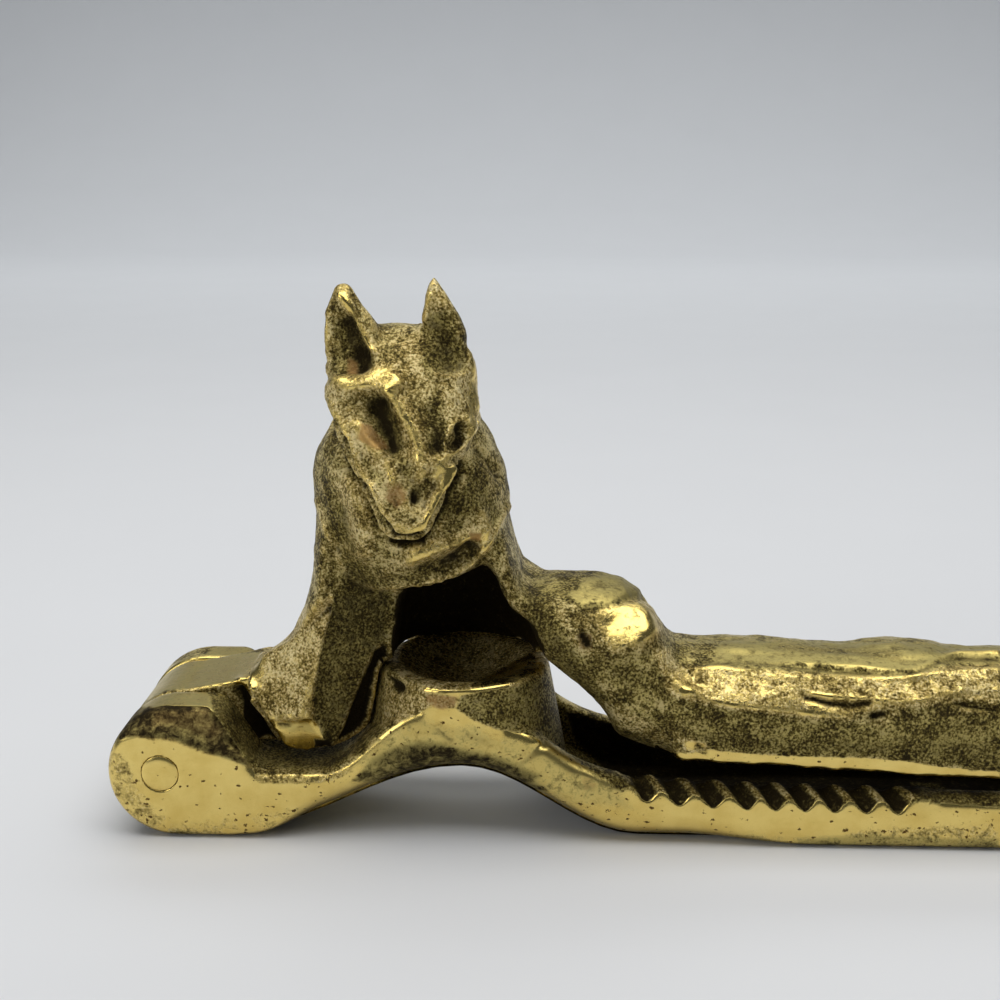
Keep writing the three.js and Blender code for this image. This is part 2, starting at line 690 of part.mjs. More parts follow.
// The head: level sections from the chin up to the crown, and two ears
function head() {
  // Height, centre to the side, width, front, back
  const headShares = [
    [0, 0, 0.2, 1, 0.86],
    [0.045, 0, 0.36, 1.03, 0.78],
    [0.14, 0, 0.46, 1.02, 0.66],
    [0.3, -0.02, 0.67, 0.95, 0.42],
    [0.41, -0.03, 0.88, 0.89, 0.24],
    [0.53, -0.035, 0.98, 0.83, 0.1],
    [0.66, -0.04, 1, 0.76, -0.02],
    [0.8, -0.05, 0.97, 0.66, -0.1],
    [0.91, -0.06, 0.88, 0.53, -0.08],
    [0.975, -0.06, 0.66, 0.4, 0.02],
    [1, -0.06, 0.36, 0.3, 0.12],
  ];
  const chin = chest.z - CHIN_DROP;
  const nose = -CHEST_DEPTH - MUZZLE_REACH;
  const skull = headShares.map(([height, across, width, front, back]) => {
    const centre = new THREE.Vector3(
      chest.x + HEAD_SHIFT + across * HEAD_WIDTH,
      nose + (1 - (front + back) / 2) * HEAD_DEPTH,
      chin + height * HEAD_HEIGHT,
    );
    const forward = new THREE.Vector3(0, -(front - back) * HEAD_DEPTH / 2, 0);
    const sideways = new THREE.Vector3(width * HEAD_WIDTH / 2, 0, 0);
    return ring(centre, forward, sideways, FACE_SQUARENESS, NAPE_SQUARENESS);
  });
  // Height above the brow, centre to the side, width, depth
  const leftEarShares = [
    [-0.55, -0.3, 0.4, 0.9],
    [0.1, -0.36, 0.36, 0.85],
    [0.55, -0.41, 0.24, 0.62],
    [0.9, -0.45, 0.13, 0.4],
    [1, -0.45, 0.06, 0.2],
  ];
  const rightEarShares = [
    [-0.55, 0.26, 0.36, 0.9],
    [0.1, 0.25, 0.31, 0.8],
    [0.6, 0.22, 0.18, 0.56],
    [1, 0.18, 0.09, 0.34],
    [1.12, 0.17, 0.04, 0.16],
  ];
  const earDepthShare = 0.62;
  const earBase = chin + HEAD_HEIGHT - EAR_HEIGHT / 4;
  const ear = (shares) => solid(loft(shares.map(([height, across, width, depth]) => ring(
    new THREE.Vector3(
      chest.x + HEAD_SHIFT + across * HEAD_WIDTH,
      nose + HEAD_DEPTH * earDepthShare,
      earBase + height * EAR_HEIGHT,
    ),
    new THREE.Vector3(0, -depth * EAR_DEPTH / 2, 0),
    new THREE.Vector3(width * HEAD_WIDTH / 2, 0, 0),
    EAR_SQUARENESS,
    EAR_SQUARENESS,
  ))));
  return solid(loft(skull)).add(ear(leftEarShares)).add(ear(rightEarShares));
}

// The room that the closed lever must leave round the lower one
function roomForLowerLever() {
  const blank = lowerBlank(LEVER_GAP);
  const raised = geometryOf(blank);
  raised.translate(0, 0, LEVER_GAP);
  return blank.add(solid(raised));
}

function upperLever() {
  return tongue()
    .add(leg())
    .add(chestBody())
    .add(hood())
    .add(loin())
    .add(haunchAndHandle())
    .add(head())
    .subtract(roomForLowerLever())
    .subtract(pinBore());
}

function piece(name, geometry, finish) {
  const mesh = new THREE.Mesh(geometry, finish);
  mesh.name = name;
  return mesh;
}

const press = new THREE.Group();
press.add(piece('lower_lever', geometryOf(lowerLever()), filedBrass));
press.add(piece('upper_lever', geometryOf(upperLever()), castBrass));
press.add(piece('hinge_pin', hingePin(), rivetBrass));

// The origin is under the middle of the whole press, on the table
const box = new THREE.Box3().setFromObject(press);
const middle = box.getCenter(new THREE.Vector3());
press.position.set(-middle.x, -middle.y, -box.min.z);

export default press;
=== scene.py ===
import math

import bpy
import numpy as np
from mathutils import Matrix, Vector, noise
from mathutils.bvhtree import BVHTree


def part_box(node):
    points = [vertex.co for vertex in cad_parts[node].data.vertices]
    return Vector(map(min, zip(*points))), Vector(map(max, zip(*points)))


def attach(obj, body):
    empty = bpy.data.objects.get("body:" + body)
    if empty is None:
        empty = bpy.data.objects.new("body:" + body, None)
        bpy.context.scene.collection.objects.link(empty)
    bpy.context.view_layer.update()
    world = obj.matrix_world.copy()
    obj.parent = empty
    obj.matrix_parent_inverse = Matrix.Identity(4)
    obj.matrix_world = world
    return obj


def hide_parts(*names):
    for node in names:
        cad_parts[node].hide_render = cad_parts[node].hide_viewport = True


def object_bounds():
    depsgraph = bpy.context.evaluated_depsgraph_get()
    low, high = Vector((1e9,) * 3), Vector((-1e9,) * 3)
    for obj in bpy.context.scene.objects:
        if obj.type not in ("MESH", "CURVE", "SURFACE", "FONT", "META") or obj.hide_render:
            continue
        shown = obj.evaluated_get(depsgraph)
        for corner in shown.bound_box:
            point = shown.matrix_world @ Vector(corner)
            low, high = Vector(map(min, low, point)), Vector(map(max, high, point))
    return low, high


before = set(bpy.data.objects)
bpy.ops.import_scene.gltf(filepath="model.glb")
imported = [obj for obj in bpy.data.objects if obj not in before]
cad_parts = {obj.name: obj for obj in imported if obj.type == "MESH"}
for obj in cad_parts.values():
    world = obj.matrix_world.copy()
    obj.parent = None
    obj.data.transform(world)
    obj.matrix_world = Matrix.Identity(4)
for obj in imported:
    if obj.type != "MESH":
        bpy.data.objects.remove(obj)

# Cast brass lever nutcracker. Each lever is a finely meshed copy of its solid, smoothed and
# sculpted, with rough casting, filed faces and wear painted into its vertices for the materials.
# Sculpting is in millimetres: X from the rivet, Y from the middle of the lever, Z from the table.
# Lines and outlines in pixels are places in the 1000 by 1000 view of the camera below, written
# x, y, x, y. A pair of limits is where a share starts to rise from 0 and where it reaches 1.

cad_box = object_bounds()

MILLIMETRE = 0.001

# Where the solids put the rivet
PIN_LOW, PIN_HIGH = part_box("hinge_pin")
FRONT_FACE = -14
RIVET_HEIGHT = 11.5
RIVET_RADIUS = 3
ORIGIN = np.array([
    (PIN_LOW.x + PIN_HIGH.x) / 2,
    PIN_LOW.y - FRONT_FACE * MILLIMETRE,
    (PIN_LOW.z + PIN_HIGH.z) / 2 - RIVET_HEIGHT * MILLIMETRE,
])
BACK_FACE = (PIN_HIGH.y - ORIGIN[1]) / MILLIMETRE

# The camera, its place in the same millimetres
VIEW_SIZE = 1000
FOCAL_PIXELS = 1360
SENSOR_WIDTH = 36
CAMERA_PITCH = math.radians(14.1)
CAMERA_YAW = math.radians(-2)
CAMERA_PLACE = np.array([62.44, -215.58, 108.54])
CAMERA_FORWARD = np.array([
    math.sin(CAMERA_YAW) * math.cos(CAMERA_PITCH),
    math.cos(CAMERA_YAW) * math.cos(CAMERA_PITCH),
    -math.sin(CAMERA_PITCH),
])
CAMERA_RIGHT = np.array([math.cos(CAMERA_YAW), -math.sin(CAMERA_YAW), 0])
CAMERA_UP = np.cross(CAMERA_RIGHT, CAMERA_FORWARD)

# Mesh fineness, and how sight of a vertex and room between the levers are judged
VOXEL = 0.42
SEEN_TOLERANCE = 0.35
KEPT_CLEAR = 0.3
LEAST_MOVE = 0.02
DEEPEST_OVERLAP = 3

# The noise of the casting: its shift for each seed, and the fall and step of its octaves
NOISE_SHIFT = (17.3, 5.1, 9.7)
NOISE_FALL = 0.9
NOISE_STEP = 2.1

# What is painted into the vertices, in the order of the patches' finishes. The third darkens,
# for dirt and for painted shade in hollows, creases, gaps and undersides
PAINTS = ("bright", "smooth", "grime", "copper", "pitted")


def to_scene(points):
    return points * MILLIMETRE + ORIGIN


def to_pixels(points):
    offset = points - CAMERA_PLACE
    depth = offset @ CAMERA_FORWARD
    across = VIEW_SIZE / 2 + FOCAL_PIXELS * (offset @ CAMERA_RIGHT) / depth
    down = VIEW_SIZE / 2 - FOCAL_PIXELS * (offset @ CAMERA_UP) / depth
    return np.stack([across, down], axis=1)


def smooth_step(value, low, high):
    share = np.clip((value - low) / (high - low), 0, 1)
    return share * share * (3 - 2 * share)


def between(value, rise, fall):
    """A share that rises at one pair of limits and falls at another."""
    return smooth_step(value, *rise) * (1 - smooth_step(value, *fall))


def line_distance(places, line):
    """Distance of each place to a line of two or more points."""
    points = np.array(line, float).reshape(-1, 2)
    nearest = np.full(len(places), np.inf)
    for start, end in zip(points[:-1], points[1:]):
        run = end - start
        share = np.clip((places - start) @ run / (run @ run), 0, 1)
        gap = np.linalg.norm(places - start - share[:, None] * run, axis=1)
        nearest = np.minimum(nearest, gap)
    return nearest


def inside_amount(places, outline, soft):
    """1 inside an outline, falling to 0 outside it over a soft edge."""
    corners = np.array(outline, float).reshape(-1, 2)
    x, y = places[:, 0], places[:, 1]
    within = np.zeros(len(places), bool)
    for (x0, y0), (x1, y1) in zip(corners, np.roll(corners, -1, axis=0)):
        if y0 == y1:
            continue
        crosses = (y0 > y) != (y1 > y)
        within ^= crosses & (x < (x1 - x0) * (y - y0) / (y1 - y0) + x0)
    gap = line_distance(places, [*outline, *outline[:2]])
    return smooth_step(np.where(within, gap, -gap), -soft, soft)


class Clay:
    """A lever's surface as arrays that can be smoothed, pushed about and painted."""

    def __init__(self, node, name):
        self.node = node
        self.object = remeshed_copy(node, name)
        mesh = self.object.data
        count = len(mesh.vertices)
        places = np.empty(count * 3)
        mesh.vertices.foreach_get("co", places)
        self.points = (places.reshape(-1, 3) - ORIGIN) / MILLIMETRE
        edges = np.empty(len(mesh.edges) * 2, int)
        mesh.edges.foreach_get("vertices", edges)
        self.edges = edges.reshape(-1, 2)
        self.faces = [tuple(face.vertices) for face in mesh.polygons]
        self.quads = np.array([face if len(face) == 4 else (*face, face[2]) for face in self.faces])
        ends = self.edges.ravel()
        self.valence = np.maximum(np.bincount(ends, minlength=count), 1)
        self.original = self.points.copy()
        self.paint = {}

    def spread(self, values):
        """Each vertex's mean over its neighbours."""
        first, second = self.edges[:, 0], self.edges[:, 1]
        count = len(self.points)
        if values.ndim == 1:
            total = np.bincount(first, values[second], count) + np.bincount(second, values[first], count)
            return total / self.valence
        return np.stack([self.spread(values[:, k]) for k in range(values.shape[1])], axis=1)

    def blur(self, values, times):
        for _ in range(times):
            values = (values + self.spread(values)) / 2
        return values

    def normals(self):
        corners = self.points[self.quads]
        across = np.cross(corners[:, 2] - corners[:, 0], corners[:, 3] - corners[:, 1])
        total = np.zeros_like(self.points)
        for k in range(3):
            for corner in range(4):
                total[:, k] += np.bincount(self.quads[:, corner], across[:, k], len(self.points))
        length = np.linalg.norm(total, axis=1, keepdims=True)
        return total / np.maximum(length, 1e-9)

    def smooth(self, times, amount):
        """Smooths where amount (one number or one per vertex) is above 0."""
        strength = np.broadcast_to(np.asarray(amount, float), (len(self.points),))[:, None]
        for _ in range(times):
            self.points = self.points + strength * (self.spread(self.points) - self.points)

    def find_seen(self):
        """Which vertices the camera sees: their line to it meets nothing of this lever first."""
        tree = BVHTree.FromPolygons(self.points.tolist(), self.faces)
        eye = Vector(CAMERA_PLACE)
        facing = ((self.points - CAMERA_PLACE) * self.normals()).sum(axis=1) < 0
        seen = np.zeros(len(self.points), bool)
        for i in np.flatnonzero(facing):
            target = Vector(self.points[i])
            _, _, _, distance = tree.ray_cast(eye, (target - eye).normalized())
            seen[i] = distance is None or distance > (target - eye).length - SEEN_TOLERANCE
        self.seen = seen
        self.pixels = to_pixels(self.points)

    def nudge(self, place, reach, across, down):
        """Slides what lies near a pixel place sideways in the view, by pixels."""
        gap = np.linalg.norm(to_pixels(self.points) - place, axis=1)
        depth = (self.points - CAMERA_PLACE) @ CAMERA_FORWARD
        amount = np.exp(-(gap / reach) ** 2) * depth / FOCAL_PIXELS
        self.points = self.points + amount[:, None] * (across * CAMERA_RIGHT - down * CAMERA_UP)

    def push(self, heights):
        self.points = self.points + self.normals() * heights[:, None]

    def flatten(self, amount, flatness, normal=None):
        """Files a patch to a plane: one that faces a given way, or the one that fits it best."""
        inside = amount > 0.5
        middle = self.points[inside].mean(axis=0)
        if normal is None:
            _, _, axes = np.linalg.svd(self.points[inside] - middle, full_matrices=False)
            normal = axes[2]
        normal = np.array(normal) / np.linalg.norm(normal)
        height = (self.points - middle) @ normal
        self.points = self.points - (flatness * amount * height)[:, None] * normal

    def seen_stroke(self, line, half_width):
        amount = np.zeros(len(self.points))
        near = line_distance(self.pixels[self.seen], line)
        amount[self.seen] = np.exp(-(near / half_width) ** 2)
        return amount

    def seen_patch(self, outline, soft):
        amount = np.zeros(len(self.points))
        amount[self.seen] = inside_amount(self.pixels[self.seen], outline, soft)
        return amount

    def grain(self, size, octaves, seed):
        """Repeatable noise, about -1 to 1, with lumps of a size in millimetres."""
        shift = Vector([seed * part for part in NOISE_SHIFT])
        places = [Vector(point) / size + shift for point in self.points]
        return np.array([noise.fractal(place, NOISE_FALL, NOISE_STEP, octaves) for place in places])

    def start_paint(self, **finish):
        for name in PAINTS:
            self.paint[name] = np.full(len(self.points), float(finish.get(name, 0)))

    def add_paint(self, amount, **finish):
        for name, value in finish.items():
            self.paint[name] += value * amount

    def cover(self, amount, **finish):
        """Brings the paint to given values where amount is 1, and part of the way elsewhere."""
        for name, value in finish.items():
            self.paint[name] += (value - self.paint[name]) * amount

    def cover_patches(self, patches):
        for outline, soft, finish in patches:
            named = {name: value for name, value in zip(PAINTS, finish) if value is not None}
            self.cover(self.seen_patch(outline, soft), **named)

    def paint_shade_at_least(self, amount):
        """Raises the dark paint to at least an amount, as painted shade."""
        self.paint["grime"] = np.maximum(self.paint["grime"], amount)

    def keep_clear_of(self, others):
        """Puts vertices back that came too near the other pieces."""
        for node in others:
            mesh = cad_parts[node].data
            corners = [((np.array(vertex.co) - ORIGIN) / MILLIMETRE).tolist() for vertex in mesh.vertices]
            tree = BVHTree.FromPolygons(corners, [tuple(face.vertices) for face in mesh.polygons])
            moved = np.linalg.norm(self.points - self.original, axis=1) > LEAST_MOVE
            for i in np.flatnonzero(moved):
                near, normal, _, distance = tree.find_nearest(Vector(self.points[i]))
                beside = (Vector(self.points[i]) - near).dot(normal)
                if distance < KEPT_CLEAR or (beside < 0 and distance < DEEPEST_OVERLAP):
                    self.points[i] = self.original[i]

    def finish(self, body, slot, material):
        """Writes the surface and its paint back, and puts the piece in its solid's place."""
        low, high = ((np.array(corner) - ORIGIN) / MILLIMETRE for corner in cad_box)
        self.points = np.clip(self.points, low, high)
        mesh = self.object.data
        mesh.vertices.foreach_set("co", to_scene(self.points).astype(np.float32).ravel())
        for name, values in self.paint.items():
            layer = mesh.attributes.new(name, "FLOAT", "POINT")
            layer.data.foreach_set("value", np.clip(values, 0, 1).astype(np.float32))
        mesh.polygons.foreach_set("use_smooth", [True] * len(mesh.polygons))
        mesh.update()
        mesh.materials.clear()
        mesh.materials.append(material)
        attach(self.object, body)
        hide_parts(self.node)


def place_object(name, data):
    made = bpy.data.objects.new(name, data)
    bpy.context.scene.collection.objects.link(made)
    return made


def remeshed_copy(node, name):
    """A copy of a node's mesh with even small faces."""
    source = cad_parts[node].data.copy()
    source.transform(Matrix.Scale(1 / MILLIMETRE, 4))
    piece = place_object(name, source)
    remesh = piece.modifiers.new("even faces", "REMESH")
    remesh.mode = "VOXEL"
    remesh.voxel_size = VOXEL
    graph = bpy.context.evaluated_depsgraph_get()
    fine = bpy.data.meshes.new_from_object(piece.evaluated_get(graph))
    piece.modifiers.clear()
    piece.data = fine
    fine.transform(Matrix.Scale(MILLIMETRE, 4))
    return piece


# The colours of clean, worn and tarnished brass; the darkest also colours painted shade
CLEAN_BRASS = (0.86, 0.66, 0.21)
WORN_BRASS = (0.74, 0.54, 0.15)
PALE_BRASS = (0.95, 0.8, 0.42)
CAST_BRASS = (0.5, 0.37, 0.11)
OLIVE_BRASS = (0.55, 0.45, 0.15)
OLIVE_TARNISH = (0.17, 0.13, 0.035)
DARK_TARNISH_AND_SHADE = (0.03, 0.022, 0.01)
BROWN_TARNISH = (0.13, 0.075, 0.022)
BRONZE_TARNISH = (0.095, 0.066, 0.018)
COPPER_TINT = (0.42, 0.235, 0.085)
PIT_SPACING = 0.9


class Shading:
    """A new material's nodes. Values are numbers, colours or other nodes' outputs."""

    def __init__(self, name):
        self.material = bpy.data.materials.new(name)
        self.material.use_nodes = True
        self.tree = self.material.node_tree

    def plug(self, socket, value):
        if isinstance(value, bpy.types.NodeSocket):
            self.tree.links.new(value, socket)
        elif isinstance(value, tuple):
            socket.default_value = (*value, 1)[:len(socket.default_value)]
        else:
            socket.default_value = value

    def node(self, kind, inputs, **settings):
        """A node with its inputs, by name or number, and its other settings."""
        made = self.tree.nodes.new("ShaderNode" + kind)
        for name, value in settings.items():
            setattr(made, name, value)
        for key, value in inputs.items():
            self.plug(made.inputs[key], value)
        return made

    def mix_values(self, share, low, high):
        return self.node("Mix", {0: share, 2: low, 3: high}, data_type="FLOAT").outputs[0]

    def mix_colours(self, share, low, high):
        return self.node("Mix", {0: share, 6: low, 7: high}, data_type="RGBA").outputs[2]

    def calculate(self, operation, first, second):
        return self.node("Math", {0: first, 1: second}, operation=operation).outputs[0]

    def add(self, first, second):
        return self.calculate("ADD", first, second)

    def subtract(self, first, second):
        return self.calculate("SUBTRACT", first, second)

    def multiply(self, first, second):
        return self.calculate("MULTIPLY", first, second)

    def ramp(self, value, low, high):
        """0 below low, 1 above high."""
        inputs = {"Value": value, "From Min": low, "From Max": high}
        return self.node("MapRange", inputs, interpolation_type="SMOOTHSTEP").outputs["Result"]

    def place(self):
        return self.node("TexCoord", {}).outputs["Object"]

    def stretched(self, place, scale):
        return self.node("Mapping", {"Vector": place, "Scale": scale}).outputs["Vector"]

    def noise(self, place, size, detail, roughness=0.5, distortion=0.0):
        """Noise with lumps of a size in millimetres."""
        inputs = {"Vector": place, "Scale": 1 / (size * MILLIMETRE), "Detail": detail,
                  "Roughness": roughness, "Distortion": distortion}
        return self.node("TexNoise", inputs).outputs["Fac"]

    def painted(self, name):
        return self.node("Attribute", {}, attribute_name=name).outputs["Fac"]

    def bump(self, height, distance, strength, before=None):
        inputs = {"Height": height, "Distance": distance * MILLIMETRE, "Strength": strength}
        if before is not None:
            inputs["Normal"] = before
        return self.node("Bump", inputs).outputs["Normal"]


def brass(name):
    """Old brass: filed and worn places bright, casting skin rough and brown, pits and dirt dark.
    The dark paint is also painted shade, and some bright paint a painted highlight.
    """
    made = Shading(name)
    made.tree.nodes.clear()
    place = made.place()
    blotches = made.noise(place, size=4.2, detail=4, roughness=0.6)
    clouds = made.noise(place, size=1.4, detail=6, roughness=0.72, distortion=0.4)
    speckle = made.noise(place, size=0.4, detail=3, roughness=0.6, distortion=0.2)
    fine = made.noise(place, size=0.22, detail=3, roughness=0.6)
    streaks = made.noise(made.stretched(place, (0.12, 1, 1)), size=0.5, detail=3, roughness=0.6)

    # The paint's edges broken up by the clouds
    patchy = made.subtract(blotches, 0.5)
    ragged = made.multiply(made.subtract(clouds, 0.5), 1.3)
    ragged = made.add(ragged, made.multiply(patchy, 0.6))
    copper = made.ramp(made.add(made.painted("copper"), ragged), low=0.2, high=0.85)
    # The dark paint: dirt, and painted shade in hollows, creases, gaps and undersides
    grime = made.ramp(made.add(made.painted("grime"), ragged), low=0.2, high=0.85)
    smooth = made.ramp(made.add(made.painted("smooth"), ragged), low=0.25, high=0.75)
    # The bright paint: clean brass, and in places a painted highlight on ridges and crests
    bright = made.ramp(made.add(made.painted("bright"), ragged), low=0.12, high=0.88)

    # Rough skin: dark in its hollows and bright on its high spots
    skin = made.mix_values(0.3, speckle, clouds)
    skin = made.add(skin, made.multiply(patchy, 0.42))
    hollow = made.multiply(made.ramp(skin, low=0.515, high=0.38), 0.95)
    peak = made.ramp(skin, low=0.475, high=0.61)
    rough_colour = made.mix_colours(bright, OLIVE_TARNISH, CAST_BRASS)
    rough_peak = made.mix_colours(bright, OLIVE_BRASS, PALE_BRASS)
    rough_colour = made.mix_colours(peak, rough_colour, rough_peak)
    rough_hollow = made.mix_colours(bright, DARK_TARNISH_AND_SHADE, BRONZE_TARNISH)
    rough_colour = made.mix_colours(hollow, rough_colour, rough_hollow)

    worn = made.ramp(blotches, low=0.3, high=0.75)
    clean = made.mix_colours(worn, CLEAN_BRASS, WORN_BRASS)
    smooth_colour = made.mix_colours(bright, OLIVE_BRASS, clean)
    colour = made.mix_colours(smooth, rough_colour, smooth_colour)
    colour = made.mix_colours(made.multiply(copper, 0.8), colour, COPPER_TINT)

    # Pits: small dark specks, in crowds where the paint asks for them
    pit_place = made.stretched(place, (0.6, 1, 1))
    pits = made.node("TexVoronoi", {"Vector": pit_place, "Scale": 1 / (PIT_SPACING * MILLIMETRE)})
    pit_size = made.multiply(made.ramp(clouds, low=0.42, high=0.75), made.painted("pitted"))
    pit = made.ramp(made.subtract(pit_size, pits.outputs["Distance"]), low=0, high=0.1)
    colour = made.mix_colours(pit, colour, BROWN_TARNISH)
    # Dark where the dark paint is: dirt and painted shade
    colour = made.mix_colours(grime, colour, DARK_TARNISH_AND_SHADE)

    cast_roughness = made.mix_values(peak, low=0.48, high=0.26)
    filed_roughness = made.mix_values(bright, low=0.32, high=0.17)
    roughness = made.mix_values(smooth, cast_roughness, filed_roughness)
    roughness = made.add(roughness, made.multiply(streaks, 0.1))
    roughness = made.mix_values(copper, roughness, high=0.5)
    roughness = made.mix_values(grime, roughness, high=0.7)

    rough_share = made.subtract(1, smooth)
    normal = made.bump(clouds, distance=0.6, strength=made.multiply(rough_share, 0.7))
    normal = made.bump(skin, distance=0.42, strength=rough_share, before=normal)
    normal = made.bump(fine, distance=0.06, strength=made.multiply(rough_share, 0.6), before=normal)
    normal = made.bump(blotches, distance=0.5, strength=0.1, before=normal)
    normal = made.bump(streaks, distance=0.02, strength=0.25, before=normal)
    normal = made.bump(made.subtract(1, pit), distance=0.2, strength=0.8, before=normal)

    metal = {"Metallic": 1, "Base Color": colour, "Roughness": roughness, "Normal": normal}
    shader = made.node("BsdfPrincipled", metal)
    made.node("OutputMaterial", {"Surface": shader.outputs[0]})
    return made.material


# Upper lever: its modelling. Ridges and creases are a line in pixels, a half width in pixels and
# a height in millimetres.
UPPER_STROKES = [
    # Brow and nose bridge
    ([338,385, 352,383, 368,379, 384,374, 394,383], 9, 1.3),
    ([390,392, 402,412, 414,432, 421,455, 422,474], 10, 1.2),
    ([352,402, 366,402, 378,406], 7, -0.6),
    # Eye hollow, left
    ([374,408, 384,425, 392,446], 11, -1.8),
    ([357,428, 366,442, 378,454], 7, 0.8),
    ([344,404, 352,424], 8, 0.4),
    # Rim of the mask, left, with the crease outside it
    ([328,388, 337,415, 352,437, 357,465, 372,485, 382,510, 398,530], 3.5, 0.9),
    ([321,396, 331,422, 345,445, 351,470, 366,492, 377,516, 392,536], 4.5, -1.2),
    # Cheek and short ridge to the nose, left
    ([387,464, 390,474, 394,486], 3.5, 0.5),
    ([400,470, 404,488], 5, -0.4),
    # Eye ring and cheek, right
    ([476,424, 462,446, 445,458, 443,440, 454,424, 466,418], 3, 0.7),
    ([460,428, 461,438, 456,446], 5, -1.1),
    ([432,412, 438,432, 437,450], 8, -0.7),
    ([437,460, 444,468, 440,480], 7, 0.6),
    # Jaw, right, with the crease outside it
    ([452,468, 443,484, 436,499, 429,513, 422,527], 3.5, 0.9),
    ([463,464, 453,485, 445,501, 437,517, 429,532], 4.5, -1.2),
    ([440,474, 432,490, 424,507], 3, -0.5),
    ([430,478, 422,492, 418,508], 5, -0.5),
    # Chin, the crease under it and the nostrils
    ([398,528, 410,532, 421,527], 3.5, 0.8),
    ([394,540, 408,543, 426,536], 5, -1.5),
    ([413,494, 415,501], 5, -1.1),
    ([394,498, 396,505], 3.5, -0.5),
    # Ears
    ([341,296, 350,308, 360,332, 372,352], 4.5, 1.1),
    ([436,374, 450,377, 466,374], 4, 0.5),
    ([328,296, 327,330, 329,372], 3.5, 0.6),
    ([343,326, 350,346, 358,362], 13, -1.7),
    ([430,296, 424,318, 419,335], 4, 0.5),
    ([440,325, 445,345, 450,362], 14, -1.1),
    ([470,350, 474,385, 477,415], 3.5, 0.6),
    ([385,336, 400,340, 418,336], 10, -0.4),
    # Chest: rim below, folds and the crossed paws
    ([318,500, 326,530, 340,562, 356,580, 380,588, 410,588, 440,580], 3, 0.5),
    ([480,450, 490,460, 500,476], 4.5, -0.9),
    ([412,557, 435,546, 455,539, 475,532], 9, 1.3),
    ([480,514, 484,530, 482,548], 7, 0.9),
    ([445,566, 458,558, 469,547], 7, -1.3),
    ([420,570, 434,566], 5, -0.6),
    ([400,566, 386,572], 7, 0.4),
    ([334,498, 346,520, 344,548], 7, -0.7),
    ([352,486, 362,515, 366,550], 9, 0.8),
    ([450,505, 458,520], 9, -0.5),
    ([508,506, 490,540, 470,565, 440,583], 3, 0.5),
    # Foreleg: its shoulder edge, ridge and the pit at its foot
    ([240,680, 256,704, 270,727, 284,745], 3, 0.4),
    ([240,692, 252,714, 266,738, 284,762], 6, -1.6),
    ([332,596, 319,650, 311,696, 313,722], 3, 0.5),
    ([319,746, 326,752], 5, -1.2),
    # Haunch: the crease below its top, its knee and the valleys below
    ([585,609, 605,607, 625,600, 648,598], 4.5, -0.5),
    ([618,622, 634,620, 646,630], 14, 0.8),
    ([583,636, 588,645], 5, -0.9),
    ([662,655, 672,676, 684,692], 7, 0.7),
    ([604,668, 630,672, 650,690], 14, -0.7),
    ([640,640, 652,654], 6, -0.5),
    ([697,746, 706,752], 3, -0.6),
    # Handle: crease below its crown, two ridges, folds and pits of the casting
    ([702,664, 740,660, 780,664, 840,671, 890,674, 915,672, 940,660, 965,657, 1000,659], 3, -0.3),
    ([680,672, 720,668, 760,676, 805,679, 860,681, 902,680, 940,674, 1000,674], 4, 0.45),
    ([690,690, 702,699, 735,706, 780,710, 815,714, 850,717], 4, 0.5),
    ([720,684, 760,692, 800,694], 7, -0.4),
    ([812,695, 840,697, 865,699, 902,702, 927,699], 3.5, 0.4),
    ([805,697, 827,703, 852,706, 870,703], 2.8, -0.8),
    ([874,717, 884,715], 4.5, -1.1),
    ([957,703, 977,707, 997,710], 2.8, -0.7),
    ([935,688, 948,692, 960,690], 5, 0.45),
    ([713,748, 716,757], 3, -0.4),
]
